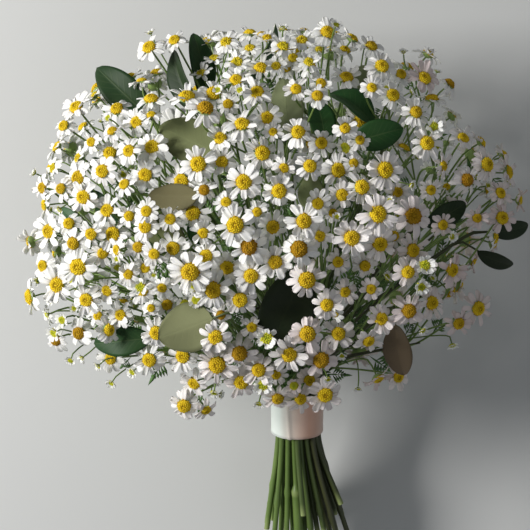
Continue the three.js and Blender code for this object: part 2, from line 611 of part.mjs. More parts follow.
// Leaves: a smooth-edged blade folded along its midrib, as thick all over, on a petiole. The blade
// arches between its base and its tip. Also gives where its petiole runs: below the base, and into it.
function leafSolid(leaf, { grow, shift, roll }) {
  const base = fromPicture(...leaf.base, HEAD_HEIGHT + leaf.heights[0] + shift);
  const tip = fromPicture(...leaf.tip, HEAD_HEIGHT + leaf.heights[1] + shift);
  const along = tip.clone().sub(base);
  const length = along.length();
  along.normalize();
  const across = new THREE.Vector3().crossVectors(along, UP).normalize();
  across.applyAxisAngle(along, THREE.MathUtils.degToRad(leaf.roll + roll));
  const face = new THREE.Vector3().crossVectors(across, along);
  const fold = THREE.MathUtils.degToRad(leaf.fold);
  const stations = [0.0, 0.14, 0.36, 0.62, 0.85, 1.0];
  const halfWidths = [0.0, 0.55, 0.98, 0.92, 0.5, 0.0].map((share) => share * leaf.width / 2);
  const positions = [];
  const addPair = (middle) => {
    for (const sign of [1, -1]) {
      const point = middle.clone().addScaledVector(face, sign * (LEAF_THICKNESS / 2 + grow));
      positions.push(point.x, point.y, point.z);
    }
  };
  const rows = stations.map((station, i) => {
    const arch = -0.1 * length * (2 * station - 1) ** 2 + 0.02 * length;
    const middle = base.clone().addScaledVector(along, length * station).addScaledVector(face, arch);
    const first = positions.length / 3;
    addPair(middle);
    if (halfWidths[i] > 0) {
      const wide = halfWidths[i] + grow;
      for (const sign of [-1, 1]) {
        addPair(middle.clone()
          .addScaledVector(across, sign * wide * Math.cos(fold))
          .addScaledVector(face, wide * Math.sin(fold)));
      }
    }
    const sides = halfWidths[i] > 0 ? { left: first + 2, right: first + 4 } : { left: first, right: first };
    return { place: middle, middle: first, ...sides };
  });
  const faces = [];
  // Both faces are split alike; each corner's lower twin is the next index.
  const addFace = (a, b, c) => {
    if (a !== b && b !== c && a !== c) {
      faces.push(a, b, c, a + 1, c + 1, b + 1);
    }
  };
  const addEdge = (a, b) => faces.push(a, a + 1, b + 1, a, b + 1, b);
  for (let i = 0; i + 1 < rows.length; i++) {
    const [here, next] = [rows[i], rows[i + 1]];
    addFace(here.middle, here.right, next.right);
    addFace(here.middle, next.right, next.middle);
    addFace(here.left, here.middle, next.middle);
    addFace(here.left, next.middle, next.left);
    addEdge(here.right, next.right);
    addEdge(next.left, here.left);
  }
  const [start, inner] = rows.map((row) => row.place);
  const outward = inner.clone().sub(start).normalize();
  return { solid: solidOf(positions, faces), foot: start.addScaledVector(outward, -PETIOLE_LENGTH), inner };
}

// Ribbon band: satin wound round the stems once, its end lapped over the start.
function bandSolid() {
  const outline = new THREE.Shape();
  const lapStart = 0.76;
  const lapEnd = 0.95;
  for (let i = 0; i < BAND_SIDES; i++) {
    const turn = i / BAND_SIDES;
    const lapped = turn > lapStart && turn < lapEnd ? BAND_THICKNESS * 0.8 : 0;
    const radius = BAND_RADIUS + BAND_THICKNESS + lapped;
    const corner = [radius * Math.cos(turn * Math.PI * 2), radius * Math.sin(turn * Math.PI * 2)];
    if (i === 0) {
      outline.moveTo(...corner);
    } else {
      outline.lineTo(...corner);
    }
  }
  const inside = new THREE.Path();
  for (let i = 0; i < BAND_SIDES; i++) {
    const turn = -i / BAND_SIDES * Math.PI * 2;
    const corner = [BAND_RADIUS * Math.cos(turn), BAND_RADIUS * Math.sin(turn)];
    if (i === 0) {
      inside.moveTo(...corner);
    } else {
      inside.lineTo(...corner);
    }
  }
  outline.holes.push(inside);
  const geometry = new THREE.ExtrudeGeometry(outline, { depth: BAND_HEIGHT, bevelEnabled: false });
  geometry.translate(0, 0, -BAND_HEIGHT / 2);
  const turned = new THREE.Matrix4().makeBasis(DEEP, ACROSS, AXIS);
  geometry.applyMatrix4(turned);
  geometry.translate(BAND_CENTRE.x, BAND_CENTRE.y, BAND_CENTRE.z);
  return solidOfGeometry(geometry);
}

// Stems of the sprays: each ends below the middle of the blooms gathered for it.
function sprayStems(wanted) {
  const owners = gatherWays(wanted.map((bloom) => wayOnMap(bloom.centre)), SPRAY_COUNT);
  const made = [];
  wanted.forEach((bloom, i) => {
    bloom.owner = owners[i];
  });
  for (let i = 0; i < SPRAY_COUNT; i++) {
    const own = wanted.filter((bloom) => bloom.owner === i);
    const middle = new THREE.Vector3();
    own.forEach((bloom) => middle.addScaledVector(bloom.centre, 1 / own.length));
    const inward = besideAxis(0, new THREE.Vector2()).sub(middle).normalize();
    const target = middle.addScaledVector(inward, FORK_DEPTH);
    const past = target.clone().sub(BAND_CENTRE).dot(AXIS);
    target.addScaledVector(AXIS, Math.max(0, LOWEST_FORK - past));
    made.push({ kind: 'spray', target, blooms: 0, pieces: [] });
  }
  return made;
}

// Leafy stems: each runs to the foot of one leaf, and some carry a second leaf that grows near it.
function leafyStems() {
  const feet = LEAVES.map((leaf) => wayOnMap(leafFoot(leaf)));
  const taken = new Set();
  const made = [];
  LEAVES.forEach((leaf, i) => {
    if (taken.has(i)) {
      return;
    }
    taken.add(i);
    const free = LEAVES.map((other, k) => k).filter((k) => !taken.has(k));
    free.sort((a, b) => feet[a].distanceTo(feet[i]) - feet[b].distanceTo(feet[i]));
    const leaves = [leaf];
    if (made.length < LEAVES.length - LEAFY_STEM_COUNT && free.length > 0) {
      taken.add(free[0]);
      leaves.push(LEAVES[free[0]]);
    }
    made.push({ kind: 'leafy', target: leafFoot(leaf), leaves, blooms: 0, pieces: [] });
  });
  return made;
}

function leafFoot(leaf) {
  return leafSolid(leaf, { grow: 0, shift: 0, roll: 0 }).foot;
}

// Lowers or raises a stem's cut end until its lowest corner lies at a height.
function settleCutEnd(stem, height, exactly) {
  for (let round = 0; round < 4; round++) {
    stem.stick = boxed(tubeSolid(stem.route, STEM_RADIUS, STEM_SIDES), stem.number, 'stem');
    const off = height - stem.stick.box.min[2];
    if (exactly || off > 0) {
      stem.route[0].z += off;
    }
  }
  stem.stick = boxed(tubeSolid(stem.route, STEM_RADIUS, STEM_SIDES), stem.number, 'stem');
}

function everyPiece(stemList) {
  return [...stemList.flatMap((stem) => stem.pieces), band];
}

function isClear(candidate, others) {
  return !others.some((other) => meets(candidate, other));
}

// The ways to place a leaf, with the least changed ones first.
function leafTries() {
  const moves = LEAF_SHIFTS.flatMap((shift) => LEAF_ROLLS.map((roll) => ({ shift, roll })));
  return LEAF_STEM_LIFTS.flatMap((lift) => moves.map((move) => ({ ...move, lift })));
}

function growLeaves(stemList) {
  for (const stem of stemList.filter((one) => one.kind === 'leafy')) {
    stem.leaves.forEach((leaf, number) => {
      for (const { shift, roll, lift } of leafTries()) {
        const nudge = LEAF_NUDGES[Math.abs(roll / 15) % LEAF_NUDGES.length];
        const { solid, foot, inner } = leafSolid(leaf, { shift, roll, grow: GAP });
        const root = new RoutedCurve(stem.route).getPoint(SECOND_LEAF_ROOT);
        const bent = stem.route.slice(3, -1).map((point) => (
          point.clone().addScaledVector(ACROSS, nudge).addScaledVector(DEEP, lift)));
        const points = number === 0 ? [...stem.route.slice(0, 3), ...bent, foot, inner] : [root, foot, inner];
        const radius = number === 0 ? STEM_RADIUS : STALK_RADIUS;
        const others = everyPiece(stemList).filter((piece) => piece.owner !== stem.number);
        const ownLeaves = stem.pieces.filter((piece) => piece.kind === 'leaf');
        const petiole = boxed(tubeSolid(points, radius + GAP / 3, STEM_SIDES), stem.number, 'petiole');
        const blade = boxed(solid, stem.number, 'leaf');
        if (isClear(blade, [...others, ...ownLeaves]) && isClear(petiole, [...others, ...ownLeaves])) {
          const bare = leafSolid(leaf, { shift, roll, grow: 0 });
          stem.pieces.push(boxed(bare.solid, stem.number, 'leaf'));
          const stick = boxed(tubeSolid(points, radius, STEM_SIDES), stem.number, 'petiole');
          if (number === 0) {
            stem.pieces[0] = stick;
          } else {
            stem.pieces.push(stick);
          }
          return;
        }
      }
    });
  }
}

// Where a bloom's stalk may leave a stem, with the shortest and least bent ways first.
function stalkRoots(stemList, bloom) {
  const neckLength = bloom.straight ? 0 : NECK_LENGTH;
  const neck = bloom.centre.clone().addScaledVector(bloom.facing, -CALYX_DEPTH - neckLength);
  const roots = [];
  for (const stem of stemList.filter((one) => one.kind === 'spray' && one.blooms < MOST_BLOOMS_ON_A_SPRAY)) {
    const curve = new RoutedCurve(stem.route);
    for (const share of ROOT_SHARES.filter((one) => !stem.used.has(one))) {
      const root = curve.getPoint(share);
      const way = neck.clone().sub(root);
      const length = way.length();
      const forward = way.normalize().dot(curve.getTangentAt(share));
      const turned = way.dot(bloom.facing);
      const crowding = CROWDING_COST * stem.blooms - (bloom.owner === stem.number ? OWN_SPRAY_PULL : 0);
      const cost = length * (1 + Math.max(0, 0.5 - forward) + Math.max(0, 0.2 - turned)) + crowding;
      roots.push({ stem, root, share, cost });
    }
  }
  roots.sort((a, b) => a.cost - b.cost);
  return roots.slice(0, 7);
}

// Blooms that face the eye have more petals; edge, hidden and filling ones have fewer.
function petalCount(bloom) {
  if (bloom.straight || (bloom.facing.z < 0.3 && !bloom.flat)) {
    return 5;
  }
  return bloom.radius > LARGE_BLOOM ? 7 : 6;
}

// Blooms of one spray may grow into each other's stalks only where nothing else has room.
function placeBloom(stemList, bloom, number) {
  const near = bloom.flat ? [[0, 0, 0]] : BLOOM_TRIES.slice(0, NEAR_TRIES);
  const far = bloom.flat ? [[0, 0, 0]] : BLOOM_TRIES;
  return tryBloom(stemList, bloom, number, near, true) || tryBloom(stemList, bloom, number, far, false);
}

function tryBloom(stemList, bloom, number, tries, strict) {
  const sideways = new THREE.Vector3().crossVectors(bloom.facing, bloom.facing.z > 0.7 ? ACROSS : UP).normalize();
  const upward = new THREE.Vector3().crossVectors(sideways, bloom.facing);
  for (const [lift, slideA, slideB] of tries) {
    const moved = {
      ...bloom,
      centre: bloom.centre.clone()
        .addScaledVector(bloom.facing, lift)
        .addScaledVector(sideways, slideA)
        .addScaledVector(upward, slideB),
    };
    for (const { stem, root, share } of stalkRoots(stemList, moved)) {
      for (const roll of [number * 0.7, number * 0.7 + 0.45]) {
        const petals = petalCount(bloom);
        const cup = bloom.flat ? 0 : 1.6 * Math.sin(number * 1.9);
        const options = { petals, roll, cup, neck: NECK_LENGTH, swell: 1 };
        const wide = boxed(bloomSolid(moved, root, { ...options, swell: 1.02 }), stem.number, 'bloom');
        if (wide.box.min[2] < (bloom.flat ? -0.1 : LIFT_OFF)) {
          continue;
        }
        const straight = moved.centre.clone().addScaledVector(moved.facing, -CALYX_DEPTH - NECK_LENGTH - 1);
        const head = boxed(bloomSolid(moved, straight, options), stem.number, 'head');
        const others = everyPiece(stemList).filter((piece) => piece.owner !== stem.number);
        const own = stem.pieces.filter((piece) => piece.kind === 'bloom');
        const ownNear = strict ? own : own.map((piece) => piece.head);
        if (isClear(wide, [...others, ...ownNear]) && isClear(head, [...own, stem.pieces[0]])) {
          const piece = boxed(bloomSolid(moved, root, options), stem.number, 'bloom');
          piece.head = head;
          stem.pieces.push(piece);
          stem.blooms += 1;
          stem.used.add(share);
          return true;
        }
      }
    }
  }
  return false;
}

// Fuses a stem with all that grows from it.
function largestBody(solids) {
  const fused = solids.reduce((sum, solid) => sum.add(solid));
  return fused.decompose().reduce((largest, body) => (body.volume() > largest.volume() ? body : largest));
}

function addPiece(name, solid, look) {
  const mesh = new THREE.Mesh(geometryOf(solid), new THREE.MeshStandardMaterial(look));
  mesh.name = name;
  model.add(mesh);
}

// Putting the bunch together

const random = seededDraw(11);
const blooms = [
  ...RESTING_BLOOMS,
  ...SEEN_BLOOMS.map(seenBloom),
  ...EDGE_BLOOMS.map(edgeBloom),
  ...hiddenBlooms(random),
  ...fillerBlooms(random, [...SEEN_BLOOMS, ...EDGE_BLOOMS]),
];
const stems = [...sprayStems(blooms), ...leafyStems()];
const places = placeStems(stems.map((stem) => wayOnMap(stem.target)), packedPlaces(stems.length, STEM_PITCH));
stems.forEach((stem, i) => {
  const cutLength = THREE.MathUtils.lerp(CUT_LENGTH_SHORT, CUT_LENGTH_LONG, Math.sqrt(random()));
  stem.number = i;
  stem.used = new Set();
  stem.route = stemRoute(places[i], stem.target, cutLength);
  settleCutEnd(stem, LIFT_OFF, false);
});
const lowestStem = stems.reduce((low, stem) => (stem.stick.box.min[2] < low.stick.box.min[2] ? stem : low));
settleCutEnd(lowestStem, 0, true);
stems.forEach((stem) => stem.pieces.push(stem.stick));

const band = boxed(bandSolid(), -1, 'band');
growLeaves(stems);
blooms.forEach((bloom, number) => placeBloom(stems, bloom, number));

const model = new THREE.Group();
const counters = { spray: 0, leafy: 0 };
stems.filter((stem) => stem.pieces.length > 1).forEach((stem) => {
  counters[stem.kind] += 1;
  const number = String(counters[stem.kind]).padStart(2, '0');
  const solid = largestBody(stem.pieces.map((piece) => piece.solid));
  const look = stem.kind === 'spray' ? PETAL_WHITE : LEAF_GREEN;
  addPiece(`${stem.kind === 'spray' ? 'daisy_spray' : 'leafy_stem'}_${number}`, solid, look);
});
addPiece('ribbon_band', band.solid, SATIN);
const whole = new THREE.Box3().setFromObject(model);
const middle = whole.getCenter(new THREE.Vector3());
model.position.set(-middle.x, -middle.y, -whole.min.z);

export default model;
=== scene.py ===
# %% [markdown]
# A bunch of small white daisies, lying on a pale floor
#
# The bunch has about 260 blooms on thirty-six branching stems, with a dozen leafy stems among them, and
# a satin ribbon grips them all. The plain solids of the bunch say where each bloom, stem and leaf is.
# This lesson reads those places and grows finer petals, hearts, stalks and leaves on them.

import json
import math
import random

import bmesh
import bpy
from mathutils import Matrix, Vector
from mathutils.kdtree import KDTree

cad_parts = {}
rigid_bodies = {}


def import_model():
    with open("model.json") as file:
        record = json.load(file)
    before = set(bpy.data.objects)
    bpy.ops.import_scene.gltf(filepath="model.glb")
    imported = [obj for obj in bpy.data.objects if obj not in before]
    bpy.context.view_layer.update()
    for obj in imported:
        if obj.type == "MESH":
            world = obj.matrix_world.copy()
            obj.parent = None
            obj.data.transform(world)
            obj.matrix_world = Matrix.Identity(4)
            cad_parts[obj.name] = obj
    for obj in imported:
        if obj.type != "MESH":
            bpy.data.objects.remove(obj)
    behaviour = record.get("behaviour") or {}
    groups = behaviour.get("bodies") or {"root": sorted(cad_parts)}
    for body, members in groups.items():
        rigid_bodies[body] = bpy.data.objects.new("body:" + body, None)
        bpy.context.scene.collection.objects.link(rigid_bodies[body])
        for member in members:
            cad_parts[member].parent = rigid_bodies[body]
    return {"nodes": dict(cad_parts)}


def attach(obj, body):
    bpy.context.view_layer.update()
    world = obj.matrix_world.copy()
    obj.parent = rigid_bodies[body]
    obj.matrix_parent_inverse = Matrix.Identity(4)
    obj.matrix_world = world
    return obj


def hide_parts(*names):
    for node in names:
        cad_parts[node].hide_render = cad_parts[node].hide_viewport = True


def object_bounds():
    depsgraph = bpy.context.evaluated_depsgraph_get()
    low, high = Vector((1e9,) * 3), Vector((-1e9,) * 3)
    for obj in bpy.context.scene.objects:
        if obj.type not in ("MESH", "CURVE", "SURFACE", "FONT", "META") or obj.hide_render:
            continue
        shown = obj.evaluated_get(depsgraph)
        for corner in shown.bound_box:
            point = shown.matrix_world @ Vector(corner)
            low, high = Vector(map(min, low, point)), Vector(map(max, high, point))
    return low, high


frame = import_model()
cad_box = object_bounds()
MM = 0.001
SPRAYS = sorted(name for name in frame["nodes"] if name.startswith("daisy_spray"))
LEAFY_STEMS = sorted(name for name in frame["nodes"] if name.startswith("leafy_stem"))
print(f"{len(SPRAYS)} sprays, {len(LEAFY_STEMS)} leafy stems")

# %% [markdown]
# The bunch is laid out as seen from straight above. The picture it follows is 530 pixels square, and a
# pixel is half a millimetre at the height of the middle of the flower head. An eye 900 mm above that
# height sees higher blooms a little larger and farther out, so the same sum turns a pixel and a height
# into a place, and a place back into a pixel.

# %% From the picture to places and back
PICTURE = 530
MM_PER_PIXEL = 0.5
EYE_DISTANCE = 900
HEAD_PIXEL = (268, 215)
HEAD = Vector((-2.6429, 37.0128, 78.0))
BUNCH_TILT = math.radians(17)
AXIS = Vector((0, math.cos(BUNCH_TILT), math.sin(BUNCH_TILT)))
ACROSS = Vector((1, 0, 0))
DEEP = ACROSS.cross(AXIS)
UP = Vector((0, 0, 1))


def from_picture(x, y, height):
    """A place in mm from a pixel and a height above the middle of the head."""
    spread = MM_PER_PIXEL * (EYE_DISTANCE - height) / EYE_DISTANCE
    return HEAD + Vector(((x - HEAD_PIXEL[0]) * spread, (HEAD_PIXEL[1] - y) * spread, height))


def to_picture(place):
    """The pixel that a place in mm is seen at."""
    offset = place - HEAD
    spread = MM_PER_PIXEL * (EYE_DISTANCE - offset.z) / EYE_DISTANCE
    return Vector((HEAD_PIXEL[0] + offset.x / spread, HEAD_PIXEL[1] - offset.y / spread))


def clamped(value):
    return max(0.0, min(1.0, value))


BAND_PIXEL = (297, 410)
BAND_SINK = -(BAND_PIXEL[1] - HEAD_PIXEL[1]) * MM_PER_PIXEL * math.tan(BUNCH_TILT)
BAND_CENTRE = from_picture(*BAND_PIXEL, BAND_SINK)
print("band at", [round(value, 1) for value in BAND_CENTRE])

# %% [markdown]
# Each solid bloom is a closed star: its top corner stands over the middle of a ring of valleys between
# the petals, all equally far from it. That pattern is looked for on a merged copy of each solid, and it
# gives the bloom's middle, its radius and the way that it faces.

# %% Find the blooms
DISC_SHARE = 0.43
DISC_RISE = 0.2
VALLEY_RISE = 0.3
SMALLEST_DISC = 1.8
CALYX_DEPTH = 2.6
NECK_LENGTH = 8


def merged_corners(name):
    """A copy of a solid's mesh in mm with its loose corners merged."""
    corners = bmesh.new()
    corners.from_mesh(frame["nodes"][name].data)
    bmesh.ops.remove_doubles(corners, verts=corners.verts, dist=0.005 * MM)
    corners.transform(Matrix.Scale(1 / MM, 4))
    return corners


def middle_of(points):
    return sum(points, Vector()) / len(points)


def bloom_under(apex, spray):
    """The bloom of a spray that a corner is the top of, or None."""
    ring = [edge.other_vert(apex).co for edge in apex.link_edges]
    if not 5 <= len(ring) <= 7:
        return None
    middle = middle_of(ring)
    reaches = [(point - middle).length for point in ring]
    reach = sum(reaches) / len(reaches)
    radius = reach / DISC_SHARE
    rise = (apex.co - middle).length
    even = max(reaches) - min(reaches) < 0.02 * reach
    if reach < SMALLEST_DISC or not even or abs(rise - (DISC_RISE * radius - VALLEY_RISE)) > 0.05:
        return None
    facing = (apex.co - middle).normalized()
    return {"spray": spray, "middle": middle - facing * VALLEY_RISE, "facing": facing,
            "radius": radius, "flat": False}


solids = {name: merged_corners(name) for name in SPRAYS + LEAFY_STEMS}
blooms = {}
for name in SPRAYS:
    found = [bloom_under(apex, name) for apex in solids[name].verts]
    blooms[name] = [bloom for bloom in found if bloom]
print("blooms found:", sum(map(len, blooms.values())))

# %% [markdown]
# Two blooms carry the head, pressed flat on the floor. Their solids have no raised middle, so their
# places are given, and each belongs to the spray whose solid reaches the floor there.

# %% The two pressed blooms
PRESSED = [Vector((-50, 48)), Vector((56, 46))]
PRESSED_RADIUS = 12
PRESSED_LIFT = 1.7
for offset in PRESSED:
    spot = Vector((HEAD.x + offset.x, HEAD.y + offset.y, 0))
    spray = min(SPRAYS, key=lambda name: min((vert.co - spot).length for vert in solids[name].verts))
    blooms[spray].append({"spray": spray, "middle": spot + UP * PRESSED_LIFT, "facing": -UP,
                          "radius": PRESSED_RADIUS, "flat": True})
    print("pressed bloom on", spray)
OPEN_BLOOMS = [bloom for name in SPRAYS for bloom in blooms[name]]

# %% [markdown]
# A cut stem is a three-sided tube in the solids. Its rings have sides of one length, which no other
# edges have, so edges of that length are gathered into rings, and the middles of the whole rings, in
# order from the cut end, are the stem's path.

# %% Find the stems
STEM_RADIUS = 1.45
STEM_SIDE = STEM_RADIUS * math.sqrt(3)
BAND_HALF = 11
BAND_EXIT = BAND_HALF + 2  # where every stem has a ring, just above the band


def stem_rings(corners):
    """The corners of each group of joined edges that are as long as the side of a stem."""
    groups = []
    for edge in corners.edges:
        if abs(edge.calc_length() - STEM_SIDE) > 0.004:
            continue
        ends = set(edge.verts)
        touching = [group for group in groups if group & ends]
        groups = [group for group in groups if not group & ends]
        groups.append(ends.union(*touching))
    return [sorted(vert.co[:] for vert in group) for group in groups]


def ring_middle(corners):
    """The middle of a three-sided ring, or None for any other group."""
    points = [Vector(corner) for corner in corners]
    sides = [(a - b).length for a, b in zip(points, points[1:] + points[:1])]
    whole = len(points) == 3 and max(abs(side - STEM_SIDE) for side in sides) < 0.01
    return middle_of(points) if whole else None


def along_axis(place):
    return (place - BAND_CENTRE).dot(AXIS)


def find_stem(corners):
    """The path of a stem: below the band by its place along it, above by its distance from it."""
    middles = [ring_middle(ring) for ring in stem_rings(corners)]
    middles = [middle for middle in middles if middle is not None]
    below = sorted((one for one in middles if along_axis(one) < BAND_EXIT + 2), key=along_axis)
    above = [one for one in middles if along_axis(one) >= BAND_EXIT + 2]
    way_out = next(one for one in below if abs(along_axis(one) - BAND_EXIT) < 1)
    above.sort(key=lambda one: (one - way_out).length)
    return below[:3] + above


stem_paths = {name: find_stem(solids[name]) for name in SPRAYS + LEAFY_STEMS}
print("points on the stems:", sorted({len(path) for path in stem_paths.values()}))

# %% [markdown]
# Each bloom hangs on a stalk that leaves its spray's stem and bends once, a short way behind the bloom.
# The bend's three corners show which way the stalk comes from, and the stalk is led back to the place
# on the stem that lies best in that direction.

# %% Find the stalks
ROOT_SHARES = [0.99, 0.955, 0.92, 0.885, 0.85, 0.81, 0.77, 0.73, 0.69, 0.65, 0.6, 0.55]
RING_REACH = 1.1
LONGEST_STEP = 12
WELL_AIMED = 0.995


def on_path(path, share):
    place = share * (len(path) - 1)
    i = min(int(place), len(path) - 2)
    return path[i].lerp(path[i + 1], place - i)


def stalk_way(corners, bloom, start, reach):
    """The direction in which the stalk's edges leave a ring of it, away from the bloom."""
    ring = [vert for vert in corners.verts if (vert.co - start).length < RING_REACH]
    ways = []
    for vert in ring:
        for edge in vert.link_edges:
            other = edge.other_vert(vert)
            step = other.co - vert.co
            if other not in ring and (other.co - bloom["middle"]).length > reach + 0.5:
                if step.dot(bloom["facing"]) < 0 or reach > CALYX_DEPTH:
                    ways.append(step.normalized() * min(step.length, LONGEST_STEP))
    return sum(ways, Vector()).normalized() if ways else None


def find_root(corners, path, bloom):
    """Where a bloom's stalk bends, if it does, the share of the stem that it grows from, and any doubt."""
    sunk = PRESSED_LIFT if bloom["flat"] else 0
    reach = CALYX_DEPTH + NECK_LENGTH
    start = bloom["middle"] - bloom["facing"] * (reach - sunk)
    has_bend = sum((vert.co - start).length < RING_REACH for vert in corners.verts) >= 3
    if not has_bend:
        reach = CALYX_DEPTH
        start = bloom["middle"] - bloom["facing"] * (reach - sunk)
    way = stalk_way(corners, bloom, start, reach)
    steps = {share: on_path(path, share) - start for share in ROOT_SHARES}
    if way is None:
        return start, has_bend, min(steps, key=lambda share: steps[share].length), True
    root = max(steps, key=lambda share: steps[share].normalized().dot(way))
    return start, has_bend, root, steps[root].normalized().dot(way) < WELL_AIMED


doubtful = 0
for bloom in OPEN_BLOOMS:
    start, has_bend, root, unsure = find_root(solids[bloom["spray"]], stem_paths[bloom["spray"]], bloom)
    bloom.update(neck=start, bent=has_bend, root=root)
    doubtful += unsure
print("bent stalks:", sum(bloom["bent"] for bloom in OPEN_BLOOMS))
print("stalks led only roughly to their stem:", doubtful)

# %% [markdown]
# Daisies of one bunch differ in age. A young bloom has short petals that stand up round a small green
# and yellow heart, a mature one is flat and bright, and an old one has a tall brown heart and petals
# that hang back. The ages of the blooms that stand out are given at their pixels, and those of the
# others are drawn with a fixed seed.

# %% Ages and tints of the blooms
OLD_AT = [(249, 247), (204, 190), (222, 313), (204, 118), (321, 360), (56, 340), (79, 333), (449, 84),
          (417, 217), (467, 180), (402, 311), (239, 352), (305, 249)]
YOUNG_AT = [(196, 300), (268, 338), (264, 388), (429, 266), (424, 288), (62, 320), (438, 124),
            (161, 126), (294, 386), (343, 148)]
PINK_AT = [(424, 78), (378, 378), (467, 258), (450, 292), (519, 200)]
NEAR = 13
YOUNG = 0.2
OLD = 0.8
GROWN_AGES = (0.35, 0.72)
FADING_AGES = (0.86, 1.0)
OPENING_AGES = (0.0, 0.1)
DROOPS = (-0.12, 0.3)
LEAST_PETALS = 10.5  # rounded down after the draw, as the next two are
MOST_PETALS = 13.9
MOST_PETALS_SMALL = 12.6
FULL_BLOOM = 9  # radius from which a bloom may have the most petals
draw = random.Random(4)


def is_near(pixel, spots):
    return any((pixel - Vector(spot)).length < NEAR for spot in spots)


def dress(bloom):
    """Age from 0 (just open) to 1 (fading), and how pink its petals are, most at the lower right."""
    pixel = to_picture(bloom["middle"])
    seen = bloom["facing"].z > 0
    bloom["age"] = draw.uniform(*GROWN_AGES)
    lower_right = clamped((pixel.x + pixel.y - 500) / 200)
    bloom["pink"] = draw.uniform(0, 0.1) + draw.uniform(0.2, 0.6) * lower_right
    if seen and is_near(pixel, OLD_AT):
        bloom["age"] = draw.uniform(*FADING_AGES)
    if seen and is_near(pixel, YOUNG_AT):
        bloom["age"] = draw.uniform(*OPENING_AGES)
    if seen and is_near(pixel, PINK_AT):
        bloom["pink"] = 0.6
    most = MOST_PETALS if bloom["radius"] > FULL_BLOOM else MOST_PETALS_SMALL
    bloom["petals"] = int(draw.uniform(LEAST_PETALS, most))
    bloom["turn"] = draw.uniform(0, math.tau)
    bloom["droop"] = draw.uniform(*DROOPS)


for bloom in OPEN_BLOOMS:
    dress(bloom)
ages = [bloom["age"] for bloom in OPEN_BLOOMS]
print("old:", sum(age > OLD for age in ages), "young:", sum(age < YOUNG for age in ages))

# %% [markdown]
# Node trees are easiest to read as sums. Here an Output stands for a node's output, and a sum of Outputs
# and numbers makes the Math nodes for it. Petals, hearts and leaves all have small changes of tone, so
# one shader group makes them: it mixes two colours by a soft noise in the piece's own space.

# %% Helpers for node trees
class Output:
    """An output of a node; + - * / ** < and > with others or with numbers make Math nodes."""

    def __init__(self, socket):
        self.socket = socket
        self.node = socket.node
        self.tree = socket.id_data


def feed(socket, value):
    """Gives an input another node's output, a display colour (0 to 255) or a plain value."""
    if isinstance(value, Output):
        value.tree.links.new(value.socket, socket)
    else:
        socket.default_value = colour(*value) if isinstance(value, tuple) else value


def put(tree, kind, inputs=(), out=0, **settings):
    """A new node with its settings and its inputs, by name or in order, as one of its outputs."""
    node = tree.nodes.new(kind)
    for key, value in settings.items():
        setattr(node, key, value)
    for key, value in inputs.items() if isinstance(inputs, dict) else enumerate(inputs):
        feed(node.inputs[key], value)
    return Output(node.outputs[out])


def calculate(operation, *values):
    """A Math node on numbers or outputs."""
    output = next(value for value in values if isinstance(value, Output))
    return put(output.tree, "ShaderNodeMath", values, operation=operation)


def add_sign(sign, operation):
    setattr(Output, f"__{sign}__", lambda self, other: calculate(operation, self, other))
    setattr(Output, f"__r{sign}__", lambda self, other: calculate(operation, other, self))


for sign, operation in (("add", "ADD"), ("sub", "SUBTRACT"), ("mul", "MULTIPLY"), ("truediv", "DIVIDE"),
                        ("pow", "POWER"), ("lt", "LESS_THAN"), ("gt", "GREATER_THAN")):
    add_sign(sign, operation)


def colour(red, green, blue):
    """A display colour (0 to 255) as a linear one."""
    linear = [((value / 255 + 0.055) / 1.055) ** 2.4 if value > 10 else value / 255 / 12.92
              for value in (red, green, blue)]
    return (*linear, 1.0)


def start_tree(name, kind, inputs, result, result_kind):
    """A node group with named inputs: the tree, its given values and the socket of its result."""
    tree = bpy.data.node_groups.new(name, kind)
    for label, form in inputs.items():
        tree.interface.new_socket(label, in_out="INPUT", socket_type="NodeSocket" + form)
    tree.interface.new_socket(result, in_out="OUTPUT", socket_type="NodeSocket" + result_kind)
    start = tree.nodes.new("NodeGroupInput")
    given = {label: Output(start.outputs[label]) for label in inputs}
    return tree, given, tree.nodes.new("NodeGroupOutput").inputs[0]


def blend(tree, share, first, second, **settings):
    """A share of the second colour in the first."""
    inputs = {"Factor": share, "A": first, "B": second}
    return put(tree, "ShaderNodeMix", inputs, out="Result", data_type="RGBA", **settings)


def tone_group():
    tree, given, result = start_tree("soft_tone", "ShaderNodeTree", {
        "Scale": "Float", "Amount": "Float", "Color": "Color", "Other Color": "Color",
    }, "Color", "Color")
    place = put(tree, "ShaderNodeTexCoord", out="Object")
    noise = put(tree, "ShaderNodeTexNoise", {"Vector": place, "Scale": given["Scale"], "Detail": 3})
    feed(result, blend(tree, noise * given["Amount"], given["Color"], given["Other Color"]))
    return tree


SOFT_TONE = tone_group()


def toned(tree, scale, amount, first, second):
    """The soft_tone group between two colours."""
    return put(tree, "ShaderNodeGroup", (scale, amount, first, second), node_tree=SOFT_TONE)


def ramp(value, stops):
    """A colour ramp with a display colour at each place."""
    output = put(value.tree, "ShaderNodeValToRGB", (value,))
    elements = output.node.color_ramp.elements
    while len(elements) < len(stops):
        elements.new(0.5)
    for element, (place, shade) in zip(elements, stops.items()):
        element.position = place
        element.color = colour(*shade)
    return output


def attribute(tree, name):
    return put(tree, "ShaderNodeAttribute", out="Fac", attribute_name=name)


def across_and_along(tree):
    """The two values of the piece's UV map."""
    split = put(tree, "ShaderNodeSeparateXYZ", (put(tree, "ShaderNodeUVMap", uv_map="UVMap"),))
    return split, Output(split.node.outputs["Y"])


def bump(height, strength, distance, **settings):
    """The normal of a surface with a relief, whose depth is in mm."""
    inputs = {"Height": height, "Strength": strength, "Distance": distance * MM}
    return put(height.tree, "ShaderNodeBump", inputs, **settings)


def new_material(name):
    material = bpy.data.materials.new(name)
    material.use_nodes = True
    return material, material.node_tree


def painted(material, inputs):
    """The material, with inputs of its shader set."""
    for key, value in inputs.items():
        feed(material.node_tree.nodes["Principled BSDF"].inputs[key], value)
    return material


